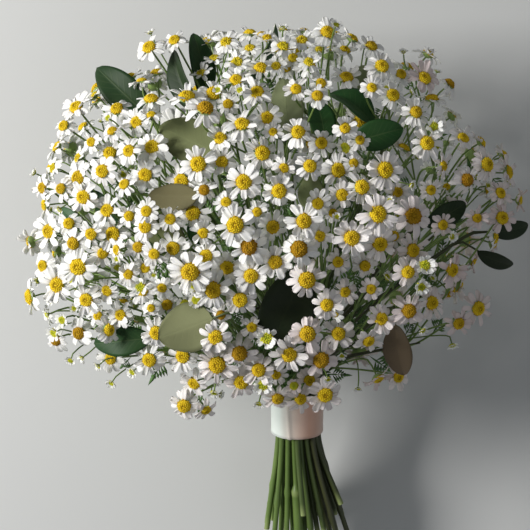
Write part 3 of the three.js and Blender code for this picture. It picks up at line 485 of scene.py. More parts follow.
print("shader group:", SOFT_TONE.name)

# %% [markdown]
# A petal is white, a little green at its root, with fine grooves along it. The grooves are a bump that
# follows the petal's own UV map: U runs across it and V from its root to its tip. Each bloom's own tint
# makes its petals greyish pink, more towards the lower right of the bunch.

# %% Petal material
def petal_material():
    material, tree = new_material("petal_white")
    across, along = across_and_along(tree)
    white = toned(tree, 160, 0.5, (250, 250, 246), (236, 237, 233))
    fresh = ramp(along, {0.0: (196, 204, 150), 0.22: (255, 255, 255)})
    product = blend(tree, 1, white, fresh, blend_type="MULTIPLY")
    return painted(material, {
        "Base Color": blend(tree, attribute(tree, "pink"), product, (212, 180, 180)),
        "Roughness": 0.6,
        "Normal": bump(calculate("SINE", across * (6 * math.tau)), 0.25, 0.05),
        "Subsurface Weight": 0.25,
        "Subsurface Radius": Vector((1.0, 1.0, 0.8)),
        "Subsurface Scale": 1.0 * MM,
    })


PETAL = petal_material()
print(PETAL.name)

# %% [markdown]
# The heart of a daisy is a dome of tiny yellow florets. They open from the rim inwards, so a young
# heart is green in the middle, and an old one is brown at its rim. Two attributes of each floret, its
# bloom's age and its own place between middle and rim, choose the colour. Stems have a tone from olive
# to light green, partly their own and partly painted light and shade, lighter at the left of the band
# and darker at the right; they are pale at the cut end.

# %% Heart and green materials
BLACK = (0, 0, 0)
WHITE = (255, 255, 255)


def heart_material():
    material, tree = new_material("heart_yellow")
    age = attribute(tree, "age")
    place = attribute(tree, "place")
    young = ramp(place, {0.0: (132, 160, 40), 0.5: (194, 202, 56), 1.0: (212, 210, 70)})
    mature = ramp(place, {0.14: (112, 84, 10), 0.26: (172, 138, 20), 0.4: (228, 200, 40),
                          0.8: (240, 214, 52), 1.0: (202, 160, 30)})
    old = ramp(place, {0.0: (104, 96, 20), 0.45: (180, 138, 34), 1.0: (142, 98, 26)})
    bright = blend(tree, ramp(age, {0.1: BLACK, 0.35: WHITE}), young, mature)
    mixed = blend(tree, ramp(age, {0.56: BLACK, 0.95: WHITE}), bright, old)
    tint = toned(tree, 700, 0.3, mixed, (192, 146, 28))
    return painted(material, {"Base Color": tint, "Roughness": 0.6, "Specular IOR Level": 0.08})


def green_material(name, light, dark, scale, roughness):
    material, tree = new_material(name)
    return painted(material, {"Base Color": toned(tree, scale, 1.0, light, dark), "Roughness": roughness})


def stem_material():
    material, tree = new_material("stalk_green")
    tone = attribute(tree, "tone")
    # The tone holds painted light and shade as well as each stem's own tone: low is olive in shade, high
    # is lit light green.
    light = ramp(tone, {0.0: (64, 68, 34), 0.5: (94, 118, 52), 1.0: (136, 160, 84)})
    dark = ramp(tone, {0.0: (42, 46, 22), 0.5: (62, 86, 34), 1.0: (96, 126, 54)})
    mottled = toned(tree, 70, 1.0, light, dark)
    pale = blend(tree, attribute(tree, "pale"), mottled, (150, 164, 104))
    return painted(material, {"Base Color": pale, "Roughness": 0.48})


HEART = heart_material()
STALK_GREEN = stem_material()
CUP_GREEN = green_material("cup_green", (156, 178, 104), (118, 146, 74), 300, 0.6)
print(HEART.name, STALK_GREEN.name, CUP_GREEN.name)

# %% [markdown]
# Petals repeat more than four thousand times, so Geometry Nodes place them. The few prototypes are small
# closed shells, made once: a petal lies along X from under the heart's rim (0.27 of the bloom's radius)
# to 1, it is 1 wide, and it arches, curls or folds a little differently in each.

# %% Petal prototypes
PETAL_ROOT = 0.27
PETAL_STATIONS = (0.0, 0.36, 0.7, 0.9, 1.0)
PETAL_COLUMNS = 5
WIDEST_AT = 0.7  # shares of a petal's length
ROUND_FROM = 0.8
ROUND_OVER = 0.215
NOTCH_DEPTH = 0.035
PETAL_THICKNESS = 0.02
# Name, length, rise, droop, channel and sideways bend of each kind of petal.
PETAL_KINDS = [
    ("petal_0_flat", 1.0, 0.06, 0.08, 0.10, 0.0),
    ("petal_1_arched", 0.98, 0.20, 0.30, 0.12, 0.04),
    ("petal_2_curled", 0.90, 0.02, 0.36, 0.22, -0.06),
    ("petal_3_raised", 0.93, 0.30, 0.08, 0.26, 0.03),
    ("petal_4_bent", 0.97, 0.10, 0.20, 0.10, 0.11),
    ("petal_5_hanging", 0.92, -0.02, 0.52, 0.16, 0.03),
    ("petal_6_upright", 0.76, 0.28, 0.04, 0.14, 0.0),
]
ANY_PETAL = 4.999  # the first five kinds are drawn from
BENT, UPRIGHT, FLAT = 4, 6, 0


def closed_mesh(name, verts, faces):
    """A smooth mesh with its faces turned outwards."""
    mesh = bpy.data.meshes.new(name)
    mesh.from_pydata(verts, [], faces)
    mesh.shade_smooth()
    work = bmesh.new()
    work.from_mesh(mesh)
    bmesh.ops.recalc_face_normals(work, faces=work.faces)
    work.to_mesh(mesh)
    work.free()
    return mesh


def shell(name, stations, columns, point_at):
    """A closed thin sheet with a UV map, from a grid of corners above (side 1) and below (side -1).

    point_at gives the place of each spot, which is its U, V and side.
    """
    spots = [(column / (columns - 1), v, side)
             for side in (1, -1) for v in stations for column in range(columns)]
    rows = len(stations)
    lower = rows * columns
    faces = []
    for a in range(lower - columns):
        if (a + 1) % columns:
            faces.append((a, a + columns, a + columns + 1, a + 1))
            faces.append((lower + a, lower + a + 1, lower + a + columns + 1, lower + a + columns))
    rim = list(range(columns))
    rim += range(2 * columns - 1, lower, columns)
    rim += range(lower - 2, lower - columns - 1, -1)
    rim += range(lower - 2 * columns, 0, -columns)
    for here, there in zip(rim, rim[1:] + rim[:1]):
        faces.append((here, there, lower + there, lower + here))
    mesh = closed_mesh(name, [point_at(*spot) for spot in spots], faces)
    layer = mesh.uv_layers.new(name="UVMap")
    for loop in mesh.loops:
        layer.data[loop.index].uv = spots[loop.vertex_index][:2]
    return mesh, spots


def petal_half_width(s):
    """Half the width at a share of the length: a narrow root, wide past the middle, a round tip."""
    spread = 0.26 + 0.24 * math.sin(min(s / WIDEST_AT, 1) * math.pi / 2)
    rounding = math.sqrt(max(0.0, 1 - (max(0.0, s - ROUND_FROM) / ROUND_OVER) ** 2))
    return spread * rounding


def petal(kind):
    name, length, rise, droop, channel, sideways = kind

    def point_at(u, s, side):
        across = u * 2 - 1
        notch = NOTCH_DEPTH * (1 - abs(abs(across) - 0.5) * 2) * s ** 6
        x = PETAL_ROOT + (length - PETAL_ROOT) * s + notch
        y = petal_half_width(s) * across + sideways * s * s
        ridge = 0.012 * math.cos(across * math.tau) * math.sin(math.pi * s)
        z = rise * s - droop * s ** 2.2 + channel * 0.5 * across * across * s + ridge
        return Vector((x, y, z)) - UP * PETAL_THICKNESS * (side < 0)

    return shell(name, PETAL_STATIONS, PETAL_COLUMNS, point_at)[0]


def shelf(name, meshes):
    """A collection of prototypes that isn't part of the scene."""
    collection = bpy.data.collections.new(name)
    for mesh in meshes:
        collection.objects.link(bpy.data.objects.new(mesh.name, mesh))
    return collection


petal_shelf = shelf("petal_kinds", [petal(kind) for kind in PETAL_KINDS])

# %% [markdown]
# The tree for the petals starts from one point for each bloom. Duplicate Elements makes as many points
# as the bloom has petals, each is turned about the bloom's axis by its share of a full turn and a small
# draw, and Instance on Points puts one of the kinds there. A young bloom takes the upright kind, most
# petals of an old one are the hanging kind, and the rest draw from the first five.

# %% Tree for rings of petals
def growing_tree(name, inputs, plan):
    """A geometry node tree; what its plan makes becomes real, smooth and gets a material."""
    inputs = {"Geometry": "Geometry", **inputs, "Material": "Material"}
    tree, given, result = start_tree(name, "GeometryNodeTree", inputs, "Geometry", "Geometry")
    real = put(tree, "GeometryNodeRealizeInstances", (plan(tree, given),))
    smooth = put(tree, "GeometryNodeSetShadeSmooth", {"Geometry": real})
    finished = put(tree, "GeometryNodeSetMaterial", {"Geometry": smooth, "Material": given["Material"]})
    feed(result, finished)
    print("tree:", name)
    return tree


def named(tree, name, kind="FLOAT"):
    """An attribute of the points."""
    return put(tree, "GeometryNodeInputNamedAttribute", {"Name": name}, out="Attribute", data_type=kind)


def chance(seed, low, high, offset):
    """A random number for each point; the tree's seed and an offset keep draws apart."""
    inputs = {2: low, 3: high, "Seed": seed + offset}
    return put(seed.tree, "FunctionNodeRandomValue", inputs, out=1, data_type="FLOAT")


def combined(tree, x, y, z):
    return put(tree, "ShaderNodeCombineXYZ", (x, y, z))


def rotation_of(angles):
    return put(angles.tree, "FunctionNodeEulerToRotation", (angles,))


def turned_by(rotation, x, y, z):
    """A rotation turned further about its own axes."""
    inputs = {"Rotation": rotation, "Rotate By": rotation_of(combined(rotation.tree, x, y, z))}
    return put(rotation.tree, "FunctionNodeRotateRotation", inputs, rotation_space="LOCAL")


def facing_rotation(tree):
    return rotation_of(named(tree, "facing", "FLOAT_VECTOR"))


def duplicates(tree, points, amount):
    """Copies of each point, and the number of each copy."""
    inputs = {"Geometry": points, "Amount": amount}
    copies = put(tree, "GeometryNodeDuplicateElements", inputs, domain="POINT")
    return copies, Output(copies.node.outputs["Duplicate Index"])


def instances(points, kinds, rotation, scale, index=0):
    """One of the kinds on each point; a shelf of a single kind needs no index."""
    shapes = put(points.tree, "GeometryNodeCollectionInfo", {
        "Collection": kinds, "Separate Children": True, "Reset Children": True,
    })
    return put(points.tree, "GeometryNodeInstanceOnPoints", {
        "Points": points, "Instance": shapes, "Pick Instance": True, "Instance Index": index,
        "Rotation": rotation, "Scale": scale,
    })


def choose(tree, condition, otherwise, then):
    inputs = {"Switch": condition, "False": otherwise, "True": then}
    return put(tree, "GeometryNodeSwitch", inputs, input_type="INT")


def petal_plan(tree, given):
    seed = given["Seed"]
    count = named(tree, "petals", "INT")
    radius, flat, age = (named(tree, key) for key in ("radius", "flat", "age"))
    copies, number = duplicates(tree, given["Geometry"], count)
    step = math.tau / count
    turn = number * step + step * given["Unevenness"] * chance(seed, -1, 1, 1) + named(tree, "turn")
    tilt = (given["Tilt"] * chance(seed, -1, 1, 2) + named(tree, "droop")) * (1 - flat)
    rotation = turned_by(facing_rotation(tree), 0, 0, turn)
    rotation = turned_by(rotation, chance(seed, -0.42, 0.42, 3), tilt, 0)
    kind = calculate("FLOOR", chance(seed, 0, ANY_PETAL, 4))
    hanging = BENT + (chance(seed, 0, 1, 5) > 0.35)
    kind = choose(tree, age > OLD, kind, hanging)
    kind = choose(tree, age < YOUNG, kind, UPRIGHT)
    kind = choose(tree, flat > 0.5, kind, FLAT)
    length = radius * chance(seed, 0.8, 1.0, 6)
    width = step * 0.72 * given["Width Share"] * chance(seed, 0.76, 1.1, 7) * radius
    size = combined(tree, length, width, radius * (1 - flat * 0.7))
    return instances(copies, given["Petal Kinds"], rotation, size, kind)


PETAL_TREE = growing_tree("rings_of_petals", {
    "Petal Kinds": "Collection", "Width Share": "Float", "Unevenness": "Float", "Tilt": "Float",
    "Seed": "Int",
}, petal_plan)

# %% [markdown]
# To grow a piece, its tree is put on a mesh of bare points as a modifier, its inputs are set by their
# identifiers, and the evaluated result is made a plain mesh. The points carry what each bloom needs as
# attributes.

# %% Growing pieces
ATTRIBUTE_KINDS = {"facing": "FLOAT_VECTOR", "petals": "INT"}


def place_object(name, data):
    """A new object in the scene."""
    placed = bpy.data.objects.new(name, data)
    bpy.context.scene.collection.objects.link(placed)
    return placed


def grow(name, start_mesh, tree, values):
    """A plain mesh object that a tree grows from a start mesh."""
    seedling = place_object(name + "_start", start_mesh)
    modifier = seedling.modifiers.new("grow", "NODES")
    modifier.node_group = tree
    for item in tree.interface.items_tree:
        if item.in_out == "INPUT" and item.name in values:
            modifier[item.identifier] = values[item.name]
    graph = bpy.context.evaluated_depsgraph_get()
    grown = seedling.evaluated_get(graph)
    mesh = bpy.data.meshes.new_from_object(grown, preserve_all_data_layers=True, depsgraph=graph)
    bpy.data.objects.remove(seedling)
    mesh.name = name
    return place_object(name, mesh)


def add_attribute(mesh, name, values):
    kind = ATTRIBUTE_KINDS.get(name, "FLOAT")
    layer = mesh.attributes.new(name, kind, "POINT")
    if kind == "FLOAT_VECTOR":
        layer.data.foreach_set("vector", [part for value in values for part in value])
    else:
        layer.data.foreach_set("value", list(values))


def point_mesh(name, points, edges=(), **attributes):
    """A mesh of bare points, given in mm, with a value of each attribute for every point."""
    mesh = bpy.data.meshes.new(name)
    mesh.from_pydata([point * MM for point in points], edges, [])
    for key, values in attributes.items():
        add_attribute(mesh, key, values)
    return mesh


def bloom_points(group):
    """One point for each bloom, with what the trees read."""
    plain = ("flat", "age", "pink", "turn", "droop")
    values = {key: [float(bloom[key]) for bloom in group] for key in plain}
    values["facing"] = [bloom["facing"].to_track_quat("Z", "Y").to_euler() for bloom in group]
    values["petals"] = [bloom["petals"] for bloom in group]
    values["radius"] = [bloom["radius"] * MM for bloom in group]
    return point_mesh("blooms", [bloom["middle"] for bloom in group], **values)


def joined(name, objects):
    """One object from several, keeping their materials."""
    work = bmesh.new()
    materials = []
    for one in objects:
        first = len(work.faces)
        work.from_mesh(one.data)
        work.faces.ensure_lookup_table()
        materials += [material for material in one.data.materials if material not in materials]
        slots = [materials.index(material) for material in one.data.materials]
        for face in work.faces[first:]:
            face.material_index = slots[face.material_index]
        bpy.data.objects.remove(one)
    mesh = bpy.data.meshes.new(name)
    work.to_mesh(mesh)
    work.free()
    for material in materials:
        mesh.materials.append(material)
    return place_object(name, mesh)


pieces = []
print("growing is ready")

# %% [markdown]
# A heart is a smooth dome set with florets, and it sits in a green cup. All three are round shapes,
# each turned from a short list of radii and heights.

# %% Floret, dome and cup prototypes
FLORETS = 60
HEART_SHARE = 0.37


def turned_shape(name, sides, outline):
    """A closed round shape from (radius, height) pairs; the first and last are on the axis."""
    verts = [(0, 0, outline[0][1])]
    for radius, height in outline[1:-1]:
        turns = [k / sides * math.tau for k in range(sides)]
        verts += [(radius * math.cos(turn), radius * math.sin(turn), height) for turn in turns]
    verts.append((0, 0, outline[-1][1]))
    top = len(verts) - 1 - sides
    faces = []
    for k in range(sides):
        after = (k + 1) % sides
        faces.append((0, 1 + after, 1 + k))
        for a in range(1, top, sides):
            faces.append((a + k, a + after, a + sides + after, a + sides + k))
        faces.append((top + k, top + after, len(verts) - 1))
    return closed_mesh(name, verts, faces)


floret_shelf = shelf("floret_kinds", [turned_shape("floret", 5, [(0, -0.7), (0.98, 0.0), (0, 1.0)])])
dome_shelf = shelf("dome_kinds", [turned_shape("dome", 10, [
    (0, -0.45), (0.62, -0.4), (1.0, 0.0), (0.86, 0.5), (0.55, 0.85), (0, 1.0),
])])
cup_shelf = shelf("cup_kinds", [turned_shape("cup", 9, [
    (0, -1.0), (0.24, -1.0), (0.62, -0.72), (0.96, -0.3), (1.0, 0.0), (0, 0.05),
])])

# %% [markdown]
# The florets lie on the dome in the pattern of a sunflower: each is turned from the last by the golden
# angle and lies a little farther out. Geometry Nodes do that sum for each floret, and the dome under
# them closes the gaps.

# %% Trees for hearts and cups
GOLDEN_ANGLE = math.pi * (3 - math.sqrt(5))
YOUNG_REACH = 1.16  # how much wider a heart is at age 0, and how soon that passes
REACH_LOSS = 1.2
YOUNG_HEIGHT = 0.5  # height at age 0, to which the age is added
PRESSED_LOSS = 0.72  # part of the height that a pressed bloom's heart loses
DOME_CURVE = 2.6
DIMPLE_WITHIN = 0.3
DIMPLE_SLOPE = 1.3
FLORET_LEAN = 0.75
FLORET_SIZES = (0.85, 1.12)
PRESSED_FLORET_LOSS = 0.6
DOME_PLACE = 0.62  # the dome under the florets has the colour of this place in the heart
CUP_DROP = 0.12
YOUNG_CUP_LOSS = 0.2


def with_place(points, value):
    """The points, with how far out in the heart each is, from 0 to 1."""
    inputs = {"Geometry": points, "Name": "place", "Value": value}
    return put(points.tree, "GeometryNodeStoreNamedAttribute", inputs, data_type="FLOAT", domain="POINT")


def moved(points, x, y, z):
    """The points, each moved by an offset in the frame that it faces in."""
    tree = points.tree
    inputs = {"Vector": combined(tree, x, y, z), "Rotation": facing_rotation(tree)}
    offset = put(tree, "FunctionNodeRotateVector", inputs)
    return put(tree, "GeometryNodeSetPosition", {"Geometry": points, "Offset": offset})


def heart_plan(tree, given):
    """Florets and a dome. A young bloom's heart is large for its petals, and an old one's is tall."""
    radius, age, flat, place = (named(tree, key) for key in ("radius", "age", "flat", "place"))
    reach = given["Heart Share"] * calculate("MAXIMUM", 1, YOUNG_REACH - age * REACH_LOSS) * radius
    height = (YOUNG_HEIGHT + age) * (1 - flat * PRESSED_LOSS) * given["Dome Height"] * radius
    copies, number = duplicates(tree, given["Geometry"], given["Florets"])
    points = with_place(copies, calculate("SQRT", (number + 0.5) / given["Florets"]))
    turn = number * GOLDEN_ANGLE + named(tree, "turn")
    dimple = calculate("MAXIMUM", DIMPLE_WITHIN - place, 0) * DIMPLE_SLOPE
    high = (1 - place ** DOME_CURVE - dimple) * height
    far = place * reach
    points = moved(points, far * calculate("COSINE", turn), far * calculate("SINE", turn), high)
    facing = facing_rotation(tree)
    outward = turned_by(turned_by(facing, 0, 0, turn), 0, place * FLORET_LEAN, 0)
    size = reach * given["Floret Size"] * chance(given["Seed"], *FLORET_SIZES, 1)
    florets = instances(points, given["Floret Kinds"], outward,
                        combined(tree, size, size, size * (1 - flat * PRESSED_FLORET_LOSS)))
    domes = instances(with_place(given["Geometry"], DOME_PLACE), given["Dome Kinds"], facing,
                      combined(tree, reach, reach, height))
    both = put(tree, "GeometryNodeJoinGeometry", (florets,))
    feed(both.node.inputs[0], domes)
    return both


def cup_plan(tree, given):
    """Green cups under the hearts, smaller under young ones."""
    radius, age = named(tree, "radius"), named(tree, "age")
    wide = given["Cup Share"] * radius * (1 - (age < YOUNG) * YOUNG_CUP_LOSS)
    size = combined(tree, wide, wide, given["Cup Depth"] * radius)
    return instances(moved(given["Geometry"], 0, 0, -CUP_DROP * MM), given["Cup Kinds"],
                     facing_rotation(tree), size)


HEART_TREE = growing_tree("hearts", {
    "Florets": "Int", "Heart Share": "Float", "Dome Height": "Float", "Floret Size": "Float",
    "Floret Kinds": "Collection", "Dome Kinds": "Collection", "Seed": "Int",
}, heart_plan)
CUP_TREE = growing_tree("cups", {
    "Cup Share": "Float", "Cup Depth": "Float", "Cup Kinds": "Collection",
}, cup_plan)

# %% [markdown]
# The broad leaves are few and large, so each is made from listed numbers: its base and tip in the
# picture, the heights of both ends, its width, how far it is rolled over and how far it folds along
# its midrib. A solid leaf may have been moved a little to find room among the stems, and the same
# moves are tried here until the corners agree with the solid's.

# %% Leaves
# Base x, y; tip x, y; heights of both ends; width; roll; fold; tone, partly painted shade (0 near black
# for a leaf in deep shade, 1 pale); how brown.
LEAVES = [
    (492, 233, 530, 226, 16, 8, 10, 20, 15, 0.35, 0),
    (478, 253, 514, 267, 20, 12, 9, 30, 15, 0.15, 0),
    (152, 120, 95, 66, 22, 14, 18, 0, 12, 0.55, 0),
    (196, 114, 170, 50, 30, 22, 15, -40, 30, 0.45, 0),
    (207, 100, 195, 31, 18, 10, 14, 25, 20, 0.62, 0),
    (216, 152, 160, 127, 66, 60, 21, 180, 10, 0.6, 0.1),
    (250, 86, 280, 25, 24, 14, 14, 65, 20, 0.88, 0),
    (288, 136, 284, 79, 64, 54, 17, 175, 12, 0.95, 0.1),
    (326, 142, 316, 98, 62, 54, 14, 20, 15, 0.72, 0),
    (374, 122, 331, 90, 56, 50, 19, 30, 30, 0.75, 0),
    (350, 104, 364, 66, 40, 32, 12, 200, 15, 0.8, 0),
    (352, 142, 404, 128, 60, 58, 15, 0, 12, 0.72, 0),
    (150, 196, 199, 197, 66, 74, 14, 165, 15, 0.5, 0.5),
    (184, 248, 136, 205, 64, 60, 17, 195, 20, 0.45, 0.1),
    (312, 212, 311, 174, 74, 70, 13, 180, 15, 0.65, 0),
    (214, 318, 160, 338, 68, 60, 24, 185, 12, 0.7, 0.25),
    (150, 338, 92, 344, 40, 32, 15, 0, 12, 0.62, 0),
    (270, 348, 304, 268, 56, 62, 27, 0, 10, 0.1, 0),
    (394, 326, 403, 377, 34, 26, 15, 20, 15, 0.6, 0.85),
    (426, 226, 467, 203, 46, 42, 12, 10, 20, 0.5, 0),
]
# Leaves too small for the plain solids, in the same way.
SMALL_LEAVES = [
    (116, 224, 91, 190, 38, 34, 9, 0, 15, 0.6, 0),
    (84, 229, 59, 207, 24, 18, 7, 0, 15, 0.9, 0),
    (203, 244, 188, 225, 66, 68, 7, 0, 15, 0.7, 0),
]
LEAF_SHIFTS = [0, -4, 4, -8, 8, -12, 12, -16, -20, -26]
LEAF_ROLLS = [0, 15, -15, 30, -30, 45, -45]
WIDEST_STATIONS = ((0.36, 0.98), (0.62, 0.92))  # share of a solid leaf's length, share of its width
LEAF_HALF_THICKNESS = 0.4


def leaf_frame(row, shift=0, roll=0):
    """Base, direction, sideways and face of a leaf, after a move."""
    x, y, tip_x, tip_y, height, tip_height, width, own_roll, fold, tone, faded = row
    base = from_picture(x, y, height + shift)
    tip = from_picture(tip_x, tip_y, tip_height + shift)
    along = (tip - base).normalized()
    across = Matrix.Rotation(math.radians(own_roll + roll), 3, along) @ along.cross(UP).normalized()
    return {"base": base, "along": along, "across": across, "face": across.cross(along),
            "length": (tip - base).length, "half": width / 2, "fold": math.radians(fold),
            "tone": tone, "faded": faded}


def leaf_middle(leaf, s):
    arch = -0.1 * leaf["length"] * (2 * s - 1) ** 2 + 0.02 * leaf["length"]
    return leaf["base"] + leaf["along"] * leaf["length"] * s + leaf["face"] * arch


def leaf_corners(leaf):
    """Where the solid leaf has the corners of its upper face at its two widest stations."""
    found = []
    for s, share in WIDEST_STATIONS:
        wide = share * leaf["half"]
        for sign in (-1, 1):
            point = leaf_middle(leaf, s) + leaf["across"] * sign * wide * math.cos(leaf["fold"])
            found.append(point + leaf["face"] * (wide * math.sin(leaf["fold"]) + LEAF_HALF_THICKNESS))
    return found


def corner_tree(corners):
    tree = KDTree(len(corners.verts))
    for i, vert in enumerate(corners.verts):
        tree.insert(vert.co, i)
    tree.balance()
    return tree


def find_leaf(row, trees):
    """How far the best move is off, the leafy stem that carries the leaf, and the leaf's frame."""
    best = (math.inf, None, None)
    for shift in LEAF_SHIFTS:
        for roll in LEAF_ROLLS:
            leaf = leaf_frame(row, shift, roll)
            corners = leaf_corners(leaf)
            for name, tree in trees.items():
                off = max(tree.find(corner)[2] for corner in corners)
                if off < best[0]:
                    best = (off, name, leaf)
    return best


def nearest_stem(place):
    """The leafy stem whose upper points come nearest to a place."""
    return min(LEAFY_STEMS, key=lambda name: min((point - place).length for point in stem_paths[name][3:]))


trees = {name: corner_tree(solids[name]) for name in LEAFY_STEMS}
matches = [find_leaf(row, trees) for row in LEAVES]
leaves = [{**leaf, "stem": name} for _, name, leaf in matches]
print("leaves matched:", sum(off < 0.05 for off, _, _ in matches), "of", len(leaves))
for row in SMALL_LEAVES:
    leaf = leaf_frame(row)
    leaves.append({**leaf, "stem": nearest_stem(leaf["base"])})

# %% [markdown]
# Between the open blooms there are many buds, each on a short side stalk of a bloom's stalk. They are
# small young blooms, so the same trees grow them from points of their own. A bud is left out where it
# would push into another bloom, or would be seen over a broad leaf or over a large bloom's heart.

# %% Buds beside the blooms
BUD_SHARE = 0.92
BUD_RADII = (3.0, 4.6)
SMALL_BLOOM_SHARE = 0.26
SMALL_BLOOM_RADII = (5.0, 6.6)
# Buds and small blooms that stand out in the picture: pixel, radius in mm, how much they face the
# eye, and age.
SEEN_BUDS = [
    (336, 25, 4.2, 0.4, 0.04), (452, 237, 3.8, 0.4, 0.04), (82, 358, 3.8, 0.2, 0.04),
    (98, 366, 3.8, 0.2, 0.04), (108, 118, 4.0, 0.4, 0.04), (218, 90, 3.8, 1.0, 0.04),
    (488, 186, 4.0, 0.6, 0.04), (47, 315, 4.0, 0.5, 0.04), (283, 28, 4.0, 0.5, 0.04),
    (240, 90, 3.8, 1.0, 0.04), (263, 385, 6.4, 3.0, 0.04), (267, 338, 7.2, 3.0, 0.06),
    (425, 265, 6.4, 2.5, 0.04), (421, 287, 5.6, 1.2, 0.04), (434, 127, 6.0, 2.0, 0.04),
    (196, 286, 6.4, 2.0, 0.04), (140, 287, 5.6, 2.0, 0.04), (54, 333, 5.6, 1.0, 0.04),
    (226, 42, 7.0, 0.5, 0.3), (214, 58, 6.5, 0.4, 0.25), (250, 48, 7.0, 0.5, 0.3),
    (267, 38, 6.0, 0.3, 0.4), (283, 46, 7.0, 0.4, 0.25), (302, 40, 7.0, 0.5, 0.3),
    (320, 50, 6.5, 0.5, 0.25), (293, 58, 6.5, 0.7, 0.3), (237, 62, 7.0, 0.5, 0.25),
    (276, 66, 6.0, 0.8, 0.3), (345, 50, 7.0, 0.6, 0.4), (201, 73, 6.5, 0.4, 0.25),
    (309, 62, 6.0, 0.7, 0.25), (208, 42, 6.0, 0.3, 0.25), (94, 96, 6.5, 0.1, 0.3),
    (53, 168, 6.5, 0.4, 0.25), (78, 158, 6.5, 0.2, 0.3), (495, 238, 7.0, 0.2, 0.4),
]
SEEN_LIFTS = (1, 4, 7, 10, 13)
BUD_DISTANCES = (1.5, 4.5)  # from the tips of the bloom's petals
BUD_DROPS = (-7, 0)  # along the way the bloom faces
BUD_LEANS = (0.3, 1.3)
BUD_AGES = (0, 0.12)
SMALL_BLOOM_AGES = (0.3, 0.6)
BUD_TRIES = 9
BUD_REGION = 24  # how far past the band's middle buds may grow, in mm
LEAF_MARGIN = 8  # in pixels
LARGE_BLOOM = 5.6
BUD_FLORETS = 28
ALL_BLOOMS = list(OPEN_BLOOMS)  # the buds are added to these
SEED_STEP = 50  # keeps the draws of the sprays apart


def sideways_of(direction, turn):
    """A direction at right angles to another, at a turn about it."""
    side = direction.cross(UP if abs(direction.z) < 0.9 else ACROSS).normalized()
    return Matrix.Rotation(turn, 3, direction) @ side


def has_room(place, radius):
    return all((other["middle"] - place).length > 0.85 * other["radius"] + radius for other in ALL_BLOOMS)


def add_bud(middle, facing, radius, parent, age):
    bud = {"spray": parent["spray"], "parent": parent, "middle": middle, "facing": facing.normalized(),
           "radius": radius, "flat": False, "age": age, "pink": 0.0, "petals": draw.choice((9, 10, 11)),
           "turn": draw.uniform(0, math.tau), "droop": 0.0}
    buds[bud["spray"]].append(bud)
    ALL_BLOOMS.append(bud)


def add_seen_bud(x, y, radius, up, age):
    """A bud read off the picture, on a side stalk of the bloom that is nearest in the picture."""
    near = [bloom for bloom in OPEN_BLOOMS if bloom["facing"].z > -0.2]
    parent = min(near, key=lambda bloom: (to_picture(bloom["middle"]) - Vector((x, y))).length)
    for lift in SEEN_LIFTS:
        middle = from_picture(x, y, parent["middle"].z - HEAD.z + lift)
        if has_room(middle, 0.5 * radius):
            break
    add_bud(middle, (middle - HEAD).normalized() + UP * up, radius, parent, age)


def over_leaf(place):
    """Whether a place is seen over a broad leaf, where the picture shows nothing."""
    pixel = to_picture(place)
    for row in LEAVES:
        base, tip = Vector(row[:2]), Vector(row[2:4])
        width = row[6]
        share = clamped((pixel - base).dot(tip - base) / (tip - base).length_squared)
        if (pixel - base.lerp(tip, share)).length < width / 2 / MM_PER_PIXEL + LEAF_MARGIN:
            return True
    return False


def over_heart(place, radius):
    """Whether something would be seen over the heart of a large bloom, which the picture shows bare."""
    pixel = to_picture(place)
    for other in ALL_BLOOMS:
        near = (HEART_SHARE * other["radius"] + radius) / MM_PER_PIXEL
        above = other["radius"] > LARGE_BLOOM and place.z > other["middle"].z
        if above and (pixel - to_picture(other["middle"])).length < near:
            return True
    return False


def fits_inside(place, radius):
    """Whether a place stays inside the box of the plain solids."""
    low, high = cad_box
    clear = all(low[k] / MM + radius < place[k] < high[k] / MM - radius for k in range(2))
    return clear and place.z > radius + 2


def add_bud_beside(bloom):
    """A bud or a small bloom on a side stalk, if one of the tries finds room."""
    radii = SMALL_BLOOM_RADII if draw.random() < SMALL_BLOOM_SHARE else BUD_RADII
    for _ in range(BUD_TRIES):
        aside = sideways_of(bloom["facing"], draw.uniform(0, math.tau))
        out = bloom["radius"] + draw.uniform(*BUD_DISTANCES)
        middle = bloom["middle"] + aside * out + bloom["facing"] * draw.uniform(*BUD_DROPS)
        radius = draw.uniform(*radii)
        hidden = over_leaf(middle) or over_heart(middle, radius) or not fits_inside(middle, radius)
        if not hidden and along_axis(middle) > BUD_REGION and has_room(middle, radius):
            facing = bloom["facing"] + aside * draw.uniform(*BUD_LEANS)
            age = draw.uniform(*(SMALL_BLOOM_AGES if radius > BUD_RADII[1] else BUD_AGES))
            add_bud(middle, facing, radius, bloom, age)
            return


buds = {name: [] for name in SPRAYS}
for row in SEEN_BUDS:
    add_seen_bud(*row)
for bloom in OPEN_BLOOMS:
    if not bloom["flat"] and draw.random() <= BUD_SHARE:
        add_bud_beside(bloom)
print("buds:", len(ALL_BLOOMS) - len(OPEN_BLOOMS))

# %% [markdown]
# Now the petals and hearts of each spray are grown, for its blooms and its buds together. A bud's
# heart has fewer florets.

# %% Grow petals and hearts
def grow_hearts(group, florets, seed):
    return grow("hearts", bloom_points(group), HEART_TREE, {
        "Florets": florets, "Heart Share": HEART_SHARE, "Dome Height": 0.2,
        "Floret Size": 1.42 / math.sqrt(florets), "Floret Kinds": floret_shelf, "Dome Kinds": dome_shelf,
        "Seed": seed, "Material": HEART,
    })


petal_faces = 0
heart_faces = 0
for number, name in enumerate(SPRAYS):
    seed = number * SEED_STEP
    petals = grow("petals_" + name[-2:], bloom_points(blooms[name] + buds[name]), PETAL_TREE, {
        "Petal Kinds": petal_shelf, "Width Share": 0.93, "Unevenness": 0.32, "Tilt": 0.25,
        "Seed": seed, "Material": PETAL,
    })
    hearts = [grow_hearts(blooms[name], FLORETS, seed)]
    if buds[name]:
        hearts.append(grow_hearts(buds[name], BUD_FLORETS, seed))
    heart = joined("hearts_" + name[-2:], hearts)
    pieces += [(petals, name, "petal"), (heart, name, None)]
    petal_faces += len(petals.data.polygons)
    heart_faces += len(heart.data.polygons)
print("petal faces:", petal_faces, "heart faces:", heart_faces)

